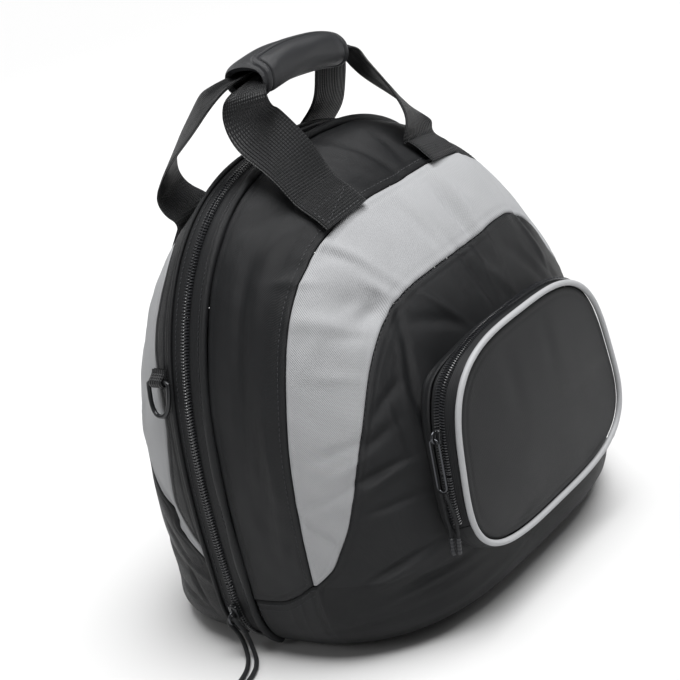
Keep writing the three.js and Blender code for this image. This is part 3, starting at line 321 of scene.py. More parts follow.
def spline(points: np.ndarray, places: np.ndarray) -> np.ndarray:
    """Read a smooth curve through points.

    Args:
        points: the points that it goes through.
        places: where to read it, counted in points.

    Returns:
        One point for each place.
    """
    p = np.asarray(points, float)
    ends = np.vstack([2 * p[0] - p[1], p, 2 * p[-1] - p[-2]])
    k = np.clip(np.floor(places).astype(int), 0, len(p) - 2)
    w = (places - k)[:, None]
    a, b, c, d = (ends[k + j] for j in range(4))
    first, middle, last = (np.maximum(np.linalg.norm(y - x, axis=1)[:, None] ** 0.5, 1e-4)
                           for x, y in ((a, b), (b, c), (c, d)))
    leave = ((b - a) / first - (c - a) / (first + middle) + (c - b) / middle) * middle
    reach = ((c - b) / middle - (d - b) / (middle + last) + (d - c) / last) * middle
    return (b + leave * w + (-3 * b + 3 * c - 2 * leave - reach) * w ** 2
            + (2 * b - 2 * c + leave + reach) * w ** 3)


def even_path(points: np.ndarray, step: float) -> np.ndarray:
    """Walk a smooth curve in even steps.

    Args:
        points: the points that it goes through.
        step: the length of a step.

    Returns:
        The points on the way.
    """
    fine = spline(points, np.linspace(0, len(points) - 1, 40 * len(points)))
    way = walked(fine, 0)
    count = max(3, int(round(way[-1] / step)))
    places = np.linspace(0, way[-1], count + 1)
    return np.stack([np.interp(places, way, fine[:, k]) for k in range(3)], axis=1)


def walked(points: np.ndarray, axis: int) -> np.ndarray:
    """Measure the way along one axis of a grid.

    Args:
        points: a grid of points.
        axis: the axis to walk.

    Returns:
        The length walked to each point.
    """
    steps = np.linalg.norm(np.diff(points, axis=axis), axis=-1)
    start = np.zeros_like(np.take(steps, [0], axis=axis))
    return np.concatenate([start, np.cumsum(steps, axis=axis)], axis=axis)


def stacked(*parts: Any) -> np.ndarray:
    """Stretch parts to one shape and stack them on a new last axis."""
    return np.stack(np.broadcast_arrays(*parts), axis=-1)


def grid_normals(points: np.ndarray, outward: np.ndarray) -> np.ndarray:
    """Find a grid's unit normals, turned to the side that most of `outward` leans to."""
    normals = unit(np.cross(np.gradient(points, axis=0), np.gradient(points, axis=1)))
    return normals * np.where((normals * outward).sum(-1, keepdims=True) < 0, -1, 1)


def round_frames(path: np.ndarray, closed: bool = False) -> tuple[np.ndarray, np.ndarray]:
    """Carry two square directions along a path without twist.

    Args:
        path: the path's points.
        closed: whether it ends where it starts.

    Returns:
        Two unit directions for each point.
    """
    if closed:
        run = unit(np.roll(path, -1, axis=0) - np.roll(path, 1, axis=0))
    else:
        run = unit(np.gradient(path, axis=0))
    guess = np.array([0, 1.0, 0]) if abs(run[0][1]) < 0.9 else np.array([1.0, 0, 0])
    sides = []
    for direction in run:
        guess = unit(guess - direction * guess.dot(direction))
        sides.append(guess)
    side = np.array(sides)
    return side, np.cross(run, side)


class MeshMaker:
    """Collects grids of points, in millimetres from the zip's middle, into one mesh."""

    def __init__(self) -> None:
        """Start empty."""
        self.points: list[np.ndarray] = []
        self.places: list[np.ndarray] = []
        self.faces: list[np.ndarray] = []
        self.count = 0

    def grid(self, points: np.ndarray, places: np.ndarray | None = None, wrap: bool = False,
             mask: np.ndarray | None = None, wrap_rows: bool = False) -> None:
        """Add a grid.

        Args:
            points: columns of points.
            places: each point's place on the cloth, in millimetres along and across.
            wrap: whether the rows join up, last point to first.
            mask: which cells exist.
            wrap_rows: whether the last column joins the first.
        """
        columns, rows = points.shape[:2]
        if places is None:
            places = np.zeros((columns, rows, 2))
        if wrap:
            points = np.concatenate([points, points[:, :1]], axis=1)
            seam = 2 * places[:, -1:] - places[:, -2:-1]
            places = np.concatenate([places, seam], axis=1)
        if wrap_rows:
            points = np.concatenate([points, points[:1]], axis=0)
            seam = 2 * places[-1:] - places[-2:-1]
            places = np.concatenate([places, seam], axis=0)
        columns, rows = points.shape[:2]
        index = np.arange(columns * rows).reshape(columns, rows) + self.count
        cells = np.stack([index[:-1, :-1], index[1:, :-1], index[1:, 1:], index[:-1, 1:]], axis=-1)
        self.faces.append(cells[mask] if mask is not None else cells.reshape(-1, 4))
        self.points.append(points.reshape(-1, 3))
        self.places.append(places.reshape(-1, 2))
        self.count += columns * rows

    def caps(self, points: np.ndarray) -> None:
        """Close both ends of a wrapped grid.

        Args:
            points: the grid.
        """
        for end in (0, -1):
            middle = np.repeat(points[end].mean(0)[None], points.shape[1], 0)
            self.grid(np.stack([points[end], middle]), wrap=True)

    def tube(self, path: np.ndarray, radius: float | np.ndarray, sides: int = 8,
             closed: bool = False, flat: float = 1.0) -> None:
        """Add a round tube with closed ends.

        Args:
            path: its middle line.
            radius: its radius, or one for each point.
            sides: points round it.
            closed: whether it ends where it starts.
            flat: how high it is for its width.
        """
        side, other = round_frames(path, closed)
        turn = np.arange(sides) / sides * TURN
        radii = np.broadcast_to(radius, len(path))[:, None, None]
        ring = side[:, None] * np.cos(turn)[None, :, None] \
            + flat * other[:, None] * np.sin(turn)[None, :, None]
        points = path[:, None] + ring * radii
        if not closed:
            points = np.concatenate([np.repeat(path[:1, None], sides, 1), points,
                                     np.repeat(path[-1:, None], sides, 1)])
        places = stacked(walked(points[:, :1], 0), turn[None] * np.max(radius))
        self.grid(points, places, wrap=True, wrap_rows=closed)

    def stitches(self, line: np.ndarray, normals: np.ndarray, length: float = 2.8,
                 gap: float = 0.9, radius: float = 0.28) -> None:
        """Sew a row of stitches.

        Args:
            line: the row's points.
            normals: the cloth's normals there.
            length: a stitch's length.
            gap: the space between two.
            radius: the thread's radius.
        """
        way = walked(line, 0)
        for start in np.arange(gap, way[-1] - length, length + gap):
            spots = np.linspace(start, start + length, 5)
            centre = np.stack([np.interp(spots, way, line[:, k]) for k in range(3)], axis=1)
            up = unit(np.stack([np.interp(spots, way, normals[:, k]) for k in range(3)], axis=1))
            bow = np.array([-0.35, 0.12, 0.22, 0.12, -0.35])[:, None]
            self.tube(centre + up * bow, radius * np.array([0.6, 1, 1, 1, 0.6]), 5)

    def build(self, name: str, finish: Finish, body: str = BODY, replaces: Sequence[str] = (),
              thickness: float = 0.0, outward: Sequence[float] | None = None,
              sharp: float = 40.0) -> bpy.types.Object:
        """Turn what was collected into an object of the scene.

        Args:
            name: the object's name.
            finish: its material.
            body: the CAD body that it rides on.
            replaces: the CAD nodes that it stands for.
            thickness: how thick an open sheet becomes, inward, in millimetres.
            outward: a point inside the piece that an open sheet faces away from.
            sharp: edges that bend more than this many degrees stay sharp.

        Returns:
            The new object.
        """
        points = np.concatenate(self.points)
        faces = np.concatenate(self.faces)
        places = np.concatenate(self.places)
        mesh = bpy.data.meshes.new(name)
        moved = (points + np.array([0, FRAME_SHIFT, 0])) * MM
        mesh.from_pydata(moved.tolist(), [], faces.tolist())
        cloth = mesh.uv_layers.new(name="cloth")
        corners = np.empty(len(mesh.loops), dtype=np.int64)
        mesh.loops.foreach_get("vertex_index", corners)
        cloth.data.foreach_set("uv", (places[corners] * MM).ravel())
        work = bmesh.new()
        work.from_mesh(mesh)
        bmesh.ops.remove_doubles(work, verts=work.verts, dist=2e-6)
        bmesh.ops.dissolve_degenerate(work, edges=work.edges, dist=1e-6)
        bmesh.ops.recalc_face_normals(work, faces=work.faces)
        if outward is not None:
            middle = Vector((outward[0] * MM, (outward[1] + FRAME_SHIFT) * MM, outward[2] * MM))
            lean = sum(f.normal.dot((f.calc_center_median() - middle).normalized()) * f.calc_area()
                       for f in work.faces)
            if lean < 0:
                bmesh.ops.reverse_faces(work, faces=work.faces)
        work.to_mesh(mesh)
        work.free()
        mesh.shade_smooth()
        mesh.set_sharp_from_angle(angle=math.radians(sharp))
        piece = placed(name, mesh)
        if thickness:
            wall = piece.modifiers.new("wall", "SOLIDIFY")
            wall.thickness = thickness * MM
            wall.offset = -1
            solid = bpy.data.meshes.new_from_object(
                piece.evaluated_get(bpy.context.evaluated_depsgraph_get()))
            piece.modifiers.clear()
            piece.data = solid
            solid.set_sharp_from_angle(angle=math.radians(sharp))
            solid.name = name
        piece.data.materials.clear()
        piece.data.materials.append(finish.material())
        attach(piece, body)
        if replaces:
            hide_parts(*replaces)
        LOG.info("%s: %d faces", name, len(piece.data.polygons))
        return piece


@dataclass
class Fold:
    """A soft fold or dent of the cloth. Lengths are in millimetres, a positive push goes in."""

    side: int
    along: float
    deep: float
    length: float
    breadth: float
    turn: float
    push: float


def folds(rows: Sequence[Sequence[float]]) -> list[Fold]:
    """Read a table of folds, each row in the order of the fields of Fold."""
    return [Fold(*row) for row in rows]


# Dents that the CAD model has too: side, along, deep, length, breadth, turn, push
FRONT_DENTS = folds([
    (1, 0.8, 0.62, 73.7, 43.55, 0, -4.0), (-1, 0.7, 0.7, 46.9, 21.8, 20, 5.5),
    (-1, 0.64, 0.6, 33.5, 13.4, 60, -2.5), (1, 0.93, 0.72, 33.5, 10.05, 80, 3.0),
    (-1, 0.5, 0.3, 100.5, 11.7, 6, 2.75), (-1, 0.4, 0.4, 87.1, 10.05, -4, -2.0),
    (1, 0.52, 0.34, 93.8, 11.7, -5, 2.5), (1, 0.6, 0.66, 53.6, 20.1, 25, 4.0),
])
BACK_DENTS = folds([
    (-1, 0.3, 0.42, 60.3, 16.75, 35, 4.0), (1, 0.34, 0.5, 67.0, 16.75, -30, 4.0),
    (-1, 0.66, 0.55, 67.0, 18.4, 15, 3.0), (1, 0.8, 0.7, 53.6, 20.1, 50, 3.25),
])
# Finer creases, only in the dressed cloth and not in the CAD model, their lengths measured on the cloth. The
# first rows are the ones that the photograph shows; the others are like them, for the rest.
FRONT_CREASES = folds([
    # grey band: a puckered loop at the bend, two folds over it, small wrinkles lower down
    (-1, 0.765, 0.727, 20, 8, 70, -1.5), (-1, 0.698, 0.7, 34, 7, 24, -1.3),
    (-1, 0.741, 0.768, 26, 6, -24, -1.2), (-1, 0.722, 0.735, 26, 9, 6, 2.2),
    (-1, 0.644, 0.708, 20, 7, 50, 0.9), (-1, 0.79, 0.64, 50, 8, 74, -1.3),
    (-1, 0.77, 0.6, 38, 8, 62, 1.0), (1, 0.915, 0.74, 62, 9, 84, 1.7),
    (1, 0.885, 0.74, 56, 8, 80, -1.1), (-1, 0.96, 0.69, 50, 10, 80, 0.9),
    (-1, 0.432, 0.69, 44, 7, 58, 0.8), (-1, 0.405, 0.72, 40, 6, 50, -0.7),
    (-1, 0.56, 0.68, 40, 7, 66, -0.6), (-1, 0.6, 0.6, 60, 9, 14, -0.8),
    (-1, 0.33, 0.6, 34, 6, 60, 0.6), (-1, 0.27, 0.56, 30, 6, -50, 0.6),
    (1, 0.72, 0.68, 50, 9, 60, 1.2), (1, 0.56, 0.66, 46, 8, 40, -1.0),
    (1, 0.4, 0.64, 46, 8, -40, 0.9), (1, 0.8, 0.6, 50, 9, 70, -1.0),
    # side panel: long soft folds that run down from the top, and dents by the band
    (-1, 0.644, 0.353, 110, 9, 3, -1.4), (-1, 0.6, 0.3, 90, 7, 2, 1.5),
    (-1, 0.4, 0.4, 110, 8, 3, -1.2), (-1, 0.38, 0.35, 100, 7, 2, 1.2),
    (-1, 0.668, 0.242, 80, 7, 4, -1.1), (-1, 0.789, 0.321, 50, 12, 30, 2.0),
    (-1, 0.75, 0.4, 56, 9, 26, -1.4), (-1, 0.714, 0.48, 30, 8, 40, 1.7),
    (-1, 0.69, 0.5, 26, 6, 60, -1.2), (-1, 0.3, 0.3, 60, 8, -4, 1.0),
    (-1, 0.25, 0.42, 40, 8, 20, 0.9), (1, 0.62, 0.34, 110, 9, -3, 1.4),
    (1, 0.58, 0.28, 100, 8, -4, -1.2), (1, 0.36, 0.38, 90, 8, -4, 1.2),
    (1, 0.78, 0.4, 50, 10, -40, 1.3), (-1, 0.932, 0.363, 40, 8, 60, 1.1),
    (1, 0.985, 0.44, 50, 8, 84, 1.0), (-1, 0.985, 0.34, 44, 8, 76, -0.9),
    (1, 0.931, 0.43, 44, 8, -70, 1.0), (-1, 0.9, 0.44, 40, 9, 50, -1.1),
    # face: a vertical crease beside the bend, mottling, then slanting creases down to the foot
    (-1, 0.69, 0.83, 60, 5, -26, 1.8), (-1, 0.65, 0.835, 50, 5, -16, -1.4),
    (-1, 0.601, 0.87, 50, 6, -30, 1.7), (-1, 0.558, 0.809, 36, 5, 20, 1.3),
    (-1, 0.52, 0.83, 34, 5, -20, -1.2), (-1, 0.48, 0.8, 30, 5, 34, 1.2),
    (-1, 0.4, 0.785, 46, 5, 52, 1.6), (-1, 0.375, 0.78, 40, 5, 48, -1.3),
    (-1, 0.34, 0.82, 50, 6, 62, 1.3), (-1, 0.21, 0.815, 56, 5, 66, 1.6),
    (-1, 0.185, 0.8, 50, 6, 70, -1.2), (-1, 0.16, 0.87, 60, 6, 76, 1.4),
    (-1, 0.12, 0.84, 70, 7, 82, 1.2), (-1, 0.09, 0.76, 80, 7, 86, 1.1),
    (-1, 0.06, 0.9, 70, 8, 88, -1.1), (-1, 0.824, 0.852, 44, 7, 24, 1.5),
    (-1, 0.86, 0.84, 40, 6, 50, -1.2), (1, 0.966, 0.846, 46, 7, 66, 1.5),
    (1, 0.9, 0.85, 44, 7, 40, -1.2), (1, 0.76, 0.84, 50, 8, 20, 1.3),
    (1, 0.6, 0.85, 60, 7, 10, 1.3), (1, 0.42, 0.83, 56, 7, -40, 1.3),
    (1, 0.26, 0.84, 60, 7, -60, 1.3), (1, 0.14, 0.86, 70, 8, -76, 1.2),
    (1, 0.3, 0.78, 44, 6, -50, -1.1), (1, 0.68, 0.8, 36, 6, 40, -1.1),
])
BACK_CREASES = folds([
    # low corner beside the zip, where the photograph shows short hard folds
    (-1, 0.13, 0.3, 34, 5, 24, 1.6), (-1, 0.165, 0.24, 30, 5, 64, -1.3),
    (-1, 0.105, 0.44, 50, 6, 76, 1.5), (-1, 0.255, 0.34, 34, 5, 28, 1.4),
    (-1, 0.22, 0.42, 50, 6, 40, 1.3), (-1, 0.18, 0.52, 60, 7, 68, 1.2),
    # guessed: folds of the kind that such a panel has at rest
    (-1, 0.8, 0.68, 60, 9, 70, 1.2), (-1, 0.56, 0.5, 70, 9, 8, 1.2),
    (-1, 0.44, 0.56, 50, 8, -30, -1.1), (1, 0.5, 0.52, 70, 9, -12, 1.2),
    (1, 0.24, 0.46, 60, 8, -50, 1.3), (1, 0.88, 0.62, 60, 9, -70, 1.2),
    (-1, 0.4, 0.84, 70, 9, 50, 1.5), (1, 0.4, 0.85, 70, 9, -46, 1.5),
    (-1, 0.78, 0.86, 60, 8, -40, 1.2), (1, 0.16, 0.82, 80, 9, -78, 1.3),
    (-1, 0.6, 0.88, 70, 9, -14, 1.3), (1, 0.62, 0.87, 60, 9, 22, 1.3),
    (-1, 0.25, 0.82, 80, 9, 66, 1.4), (1, 0.28, 0.88, 70, 9, 50, -1.2),
    (1, 0.7, 0.3, 60, 8, 8, 1.1), (-1, 0.64, 0.38, 60, 8, -10, -1.0),
    (-1, 0.14, 0.88, 80, 10, 80, -1.2), (1, 0.96, 0.8, 60, 10, 80, 1.2),
])


@dataclass
class Half:
    """One half shell of the bag, from the main zip to its foremost point."""

    name: str
    sign: int
    depth: float
    nose: float
    crown_power: float
    side_power: float
    foot_power: float
    dents: list[Fold]
    creases: list[Fold]
    along: list[float]
    outer: list[float]
    inner: list[float]
    slip: list[float]
    foot_deep: list[float]
    foot_along: list[float]

    def power(self, angle: np.ndarray) -> np.ndarray:
        """Say how square the shell is at an angle of the arch.

        Args:
            angle: the angles.

        Returns:
            The powers of its outline.
        """
        up = np.sin(angle)
        end = np.where(up > 0, self.crown_power, self.foot_power)
        return self.side_power + (end - self.side_power) * up * up


FRONT = Half(
    "front", -1, 162, 42, 2.3, 2.9, 2.45, FRONT_DENTS, FRONT_CREASES,
    [0.174, 0.184, 0.204, 0.234, 0.282, 0.341, 0.4, 0.5, 0.64, 0.74, 0.808, 0.9, 1.0],
    [0.471, 0.472, 0.474, 0.477, 0.481, 0.486, 0.492, 0.503, 0.506, 0.522, 0.536, 0.55, 0.561],
    [0.486, 0.52, 0.574, 0.616, 0.669, 0.706, 0.731, 0.76, 0.77, 0.772, 0.777, 0.784, 0.785],
    [0, 0, 0, 0, 0, 0, 0.004, 0.02, 0.04, 0.03, 0.016, 0.004, 0],
    [0.134, 0.3, 0.38, 0.471], [0.135, 0.14, 0.152, 0.174])
# The outer seam is rounded at the crown, where the CAD model's comes to a point
BACK = Half(
    "back", 1, 130, 62, 1.75, 2.5, 5.9, BACK_DENTS, BACK_CREASES,
    [0.195, 0.217, 0.24, 0.27, 0.3, 0.345, 0.43, 0.52, 0.58, 0.7, 0.84, 0.92, 0.96, 1.0],
    [0.142, 0.165, 0.224, 0.271, 0.288, 0.266, 0.224, 0.262, 0.284, 0.272, 0.45, 0.508, 0.526,
     0.533],
    [0.156, 0.245, 0.33, 0.365, 0.48, 0.58, 0.665, 0.71, 0.735, 0.77, 0.79, 0.795, 0.798, 0.8],
    [0] * 14, [0.13, 0.142], [0.193, 0.195])


@dataclass
class BagForm:
    """The outer form of the bag in millimetres: the CAD model's, with finer creases."""

    half_width: float = 179
    height: float = 335
    widest: float = 60
    sink: float = 15
    crown_power: float = 2.6
    foot_power: float = 3.6
    gap: float = 0.42
    pocket_half_width: float = 101.5
    pocket_half_height: float = 75
    pocket_height: float = 128
    pocket_power: float = 3.33
    pocket_taper: float = 0.1
    pocket_flare: float = 4
    pocket_top_flare: float = -5
    pocket_press: float = 15
    pocket_reach: float = 172
    piping_radius: float = 2.5
    # Cloth from the zip to the foremost point, for each radian of the way
    cloth_reach: float = 130
    crease_strength: float = 1.35
    unevenness: float = 0.62
    angles: np.ndarray = field(init=False)
    lengths: np.ndarray = field(init=False)

    def __post_init__(self) -> None:
        """Measure the arch once."""
        self.angles = (1.5 - 2 * np.linspace(0, 1, 2881)) * math.pi
        x, z = self.arch(self.angles)
        steps = np.hypot(np.diff(x), np.diff(z))
        self.lengths = np.concatenate([[0], np.cumsum(steps)])
        self.crown = self.lengths[-1] / 2
        self.floor = float(self.length_at(self.foot_angle(0)))

    def _part(self, above: np.ndarray) -> tuple[np.ndarray, np.ndarray]:
        """Give the power and height of the arch's upper or lower part.

        Args:
            above: over 0 where the upper part is meant.

        Returns:
            The powers and the heights.
        """
        return (np.where(above > 0, self.crown_power, self.foot_power),
                np.where(above > 0, self.height - self.widest, self.widest + self.sink))

    def arch(self, angle: np.ndarray) -> tuple[np.ndarray, np.ndarray]:
        """Find points of the arch in the zip's plane.

        Args:
            angle: 0 at the right side, a quarter turn at the crown.

        Returns:
            Their X and Z.
        """
        up = np.sin(angle)
        power, reach = self._part(up)
        return (self.half_width * signed_power(np.cos(angle), 2 / power),
                self.widest + reach * signed_power(up, 2 / power))

    def angle_at(self, length: np.ndarray) -> np.ndarray:
        """Turn lengths along the arch, from under the middle up the left side, to angles."""
        return np.interp(length, self.lengths, self.angles)

    def length_at(self, angle: np.ndarray) -> np.ndarray:
        """Turn angles to lengths along the arch."""
        return np.interp(-np.asarray(angle), -self.angles, self.lengths)

    def length_of(self, along: np.ndarray) -> np.ndarray:
        """Turn shares of the half arch, 0 at the floor and 1 at the crown, to lengths."""
        return self.floor + (self.crown - self.floor) * np.asarray(along)

    def along_of(self, angle: np.ndarray) -> np.ndarray:
        """Turn angles to shares of the half arch, the same on both sides."""
        length = self.length_at(angle)
        return (np.minimum(length, 2 * self.crown - length) - self.floor) / (self.crown - self.floor)

    def foot_angle(self, height: float) -> float:
        """Find the left side's angle at a height below the widest place."""
        drop = min(max((self.widest - height) / (self.widest + self.sink), 0), 1)
        return math.pi + math.asin(drop ** (self.foot_power / 2))

    def side_angle(self, height: float) -> float:
        """Find the left side's angle at a height above the widest place."""
        rise = (height - self.widest) / (self.height - self.widest)
        return math.pi - math.asin(rise ** (self.crown_power / 2))

    def push(self, table: list[Fold], half: Half, angle: np.ndarray, share: np.ndarray,
             on_cloth: bool = False) -> np.ndarray:
        """Add up the depth of folds.

        Args:
            table: the folds.
            half: the half that they lie on.
            angle: places along the arch.
            share: places across it.
            on_cloth: whether lengths are measured on the cloth, not along the half's depth.

        Returns:
            The depth at each place.
        """
        length = self.length_at(angle)
        power = half.power(angle)
        swing = np.arcsin(np.clip(share, 0, 1) ** (power / 2))
        near = np.cos(swing) ** (2 / power) if on_cloth else 1.0
        depth = np.zeros(np.broadcast(angle, share).shape)
        for fold in table:
            middle = self.length_of(fold.along)
            middle = middle if fold.side < 0 else 2 * self.crown - middle
            across = (share - fold.deep) * half.depth
            if on_cloth:
                across = (swing - np.arcsin(fold.deep ** (power / 2))) * self.cloth_reach
            run = (length - middle) * near
            cos, sin = math.cos(math.radians(fold.turn)), math.sin(math.radians(fold.turn))
            p = (run * cos + across * sin) / fold.length
            q = (across * cos - run * sin) / fold.breadth
            depth += fold.push * np.exp(-4 * (p * p + q * q))
        return depth

    def gauge(self, x: np.ndarray, z: np.ndarray) -> np.ndarray:
        """Say how far out a place lies in the pocket's outline on the bag.

        Args:
            x: places across.
            z: heights.

        Returns:
            0 at the pocket's middle, 1 on its outline.
        """
        above = z - self.pocket_height
        tall = self.pocket_half_height + np.where(above > 0, self.pocket_top_flare, self.pocket_flare)
        rise = above / tall
        wide = (self.pocket_half_width + self.pocket_flare) \
            * (1 - self.pocket_taper * np.clip(rise, -1, 1))
        p = self.pocket_power
        return (np.abs(x / wide) ** p + np.abs(rise) ** p) ** (1 / p)

    def surface(self, half: Half, angle: np.ndarray, share: np.ndarray) -> np.ndarray:
        """Find points of the cloth's outer surface, with its dents and creases.

        Args:
            half: front or back.
            angle: places along the arch.
            share: 0 at the main zip, 1 at the foremost point.

        Returns:
            The points.
        """
        x, z = self.arch(angle)
        power = half.power(angle)
        low = half.nose / np.maximum(half.nose - z, 1e-6)
        least = np.where(z < 0, (1 - np.clip(low, 0, 1) ** power) ** (1 / power), 0)
        deep = np.maximum(share, least)
        keep = (1 - np.clip(deep, 0, 1) ** power) ** (1 / power)
        point = np.stack([x * keep, half.sign * half.depth * deep,
                          half.nose + (z - half.nose) * keep], axis=-1)
        rise = smooth_step(point[..., 2] / self.widest)
        depth = self.push(half.dents, half, angle, deep) * rise
        fine = smooth_step((point[..., 2] - 3) / 16)
        creases = self.push(half.creases, half, angle, deep, on_cloth=True)
        depth = depth + self.crease_strength * creases * fine
        # Small unevenness of padded cloth, from a few slow waves that don't repeat together
        px, py, pz = (point[..., k] for k in range(3))
        waves = (np.sin(px / 23 + 1.3 * np.sin(pz / 31)) * np.sin(py / 19 + pz / 27 + 0.7)
                 + 0.55 * np.sin(px / 11 - pz / 13 + 2.1) * np.sin(py / 9.7 + px / 17)
                 + 0.3 * np.sin(px / 6.1 + pz / 7.3 + 1.9 * np.sin(py / 21)) * np.sin(py / 6.7 - pz / 9.1))
        depth = depth + self.unevenness * waves * fine * np.clip((1 - deep) * 12, 0, 1)
        outward = unit(np.stack([px / self.half_width ** 2, py / half.depth ** 2,
                                 (pz - self.widest) / (self.height - self.widest) ** 2], axis=-1))
        point = point - outward * depth[..., None]
        if half is FRONT:
            press = smooth_step((0.94 - self.gauge(point[..., 0], point[..., 2])) / 0.3)
            point[..., 1] += self.pocket_press * press
        point[..., 2] = np.maximum(point[..., 2], 0)
        return point

    def face_share(self, half: Half, x: np.ndarray, z: np.ndarray) -> np.ndarray:
        """Find how deep the smooth surface lies at a place seen from ahead.

        Args:
            half: front or back.
            x: places across.
            z: heights.

        Returns:
            Shares of the half's depth.
        """
        x, z = np.asarray(x, float), np.asarray(z, float)
        low, high = np.full(x.shape, 1e-3), np.ones(x.shape)

        def arch_height(keep: np.ndarray) -> np.ndarray:
            """Height on the arch above its widest place, for a share of the arch that is left."""
            return half.nose + (z - half.nose) / keep - self.widest

        for _ in range(40):
            keep = (low + high) / 2
            above = arch_height(keep)
            power, reach = self._part(above)
            far = (np.abs(x) / keep / self.half_width) ** power + np.abs(above / reach) ** power > 1
            low, high = np.where(far, keep, low), np.where(far, high, keep)
        above = arch_height(high)
        power, reach = self._part(above)
        angle = np.arcsin(signed_power(np.clip(above / reach, -1, 1), power / 2))
        p = half.power(angle)
        return (1 - high ** p) ** (1 / p)

    def roof(self, half: Half, x: float, reach: float) -> float:
        """Find the roof's height over a place of the plan.

        Args:
            half: front or back.
            x: the place across.
            reach: its distance from the main zip.

        Returns:
            The height.
        """
        low, high = self.widest, self.height
        for _ in range(40):
            z = (low + high) / 2
            if float(self.face_share(half, x, z)) * half.depth > reach:
                low = z
            else:
                high = z
        return low

    def over_arch(self, length: np.ndarray, y: np.ndarray, rise: np.ndarray) -> np.ndarray:
        """Find points above the arch.

        Args:
            length: lengths along the arch.
            y: places across it.
            rise: heights above it.

        Returns:
            The points.
        """
        x, z = self.arch(self.angle_at(length))
        x0, z0 = self.arch(self.angle_at(np.asarray(length) - 1))
        x1, z1 = self.arch(self.angle_at(np.asarray(length) + 1))
        run = unit(np.stack([x1 - x0, z1 - z0], axis=-1))
        return stacked(x - run[..., 1] * rise, y, np.maximum(z + run[..., 0] * rise, self.gap))

    def pocket_edge(self, turn: np.ndarray, grow: np.ndarray) -> tuple[np.ndarray, np.ndarray]:
        """Find the pocket's outline.

        Args:
            turn: where round it.
            grow: how far outside it.

        Returns:
            X and Z.
        """
        side, up = np.cos(turn), np.sin(turn)
        rise = signed_power(up, 2 / self.pocket_power)
        wide = (self.pocket_half_width + grow) * (1 - self.pocket_taper * rise)
        return (wide * signed_power(side, 2 / self.pocket_power),
                self.pocket_height + (self.pocket_half_height + grow) * rise)

    def gusset(self, turn: np.ndarray, across: np.ndarray, lift: np.ndarray = 0) -> np.ndarray:
        """Find points of the pocket's side wall.

        Args:
            turn: where round the pocket.
            across: 0 on the bag, 1 behind the piping.
            lift: how far outside the wall.

        Returns:
            The points.
        """
        flare = self.pocket_flare + (self.pocket_top_flare - self.pocket_flare) \
            * smooth_step((np.sin(turn) - 0.55) / 0.45)
        seat_x, seat_z = self.pocket_edge(turn, flare)
        rear = FRONT.depth * self.face_share(FRONT, seat_x, seat_z) + self.gap + 1.25
        front = self.pocket_reach - self.piping_radius - self.gap
        rear = np.minimum(rear, front - 2)
        grow = flare * (1 - across) + 2 * np.sin(math.pi * across) + lift
        x, z = self.pocket_edge(turn, grow)
        y = -(rear + (front - rear) * across)
        return stacked(x, y, z)


FORM = BagForm()


def seam_relief(distance: np.ndarray, roll: float = 1.5, width: float = 3.2,
                groove: float = 0.45, groove_at: float = STITCH_ROW) -> np.ndarray:
    """Say how deep the cloth dips near a seam: its edge rolls in and stitches pull it down."""
    t = np.clip(1 - distance / width, 0, 1)
    return roll * (1 - np.sqrt(1 - t * t)) + groove * np.exp(-((distance - groove_at) / 0.9) ** 2)


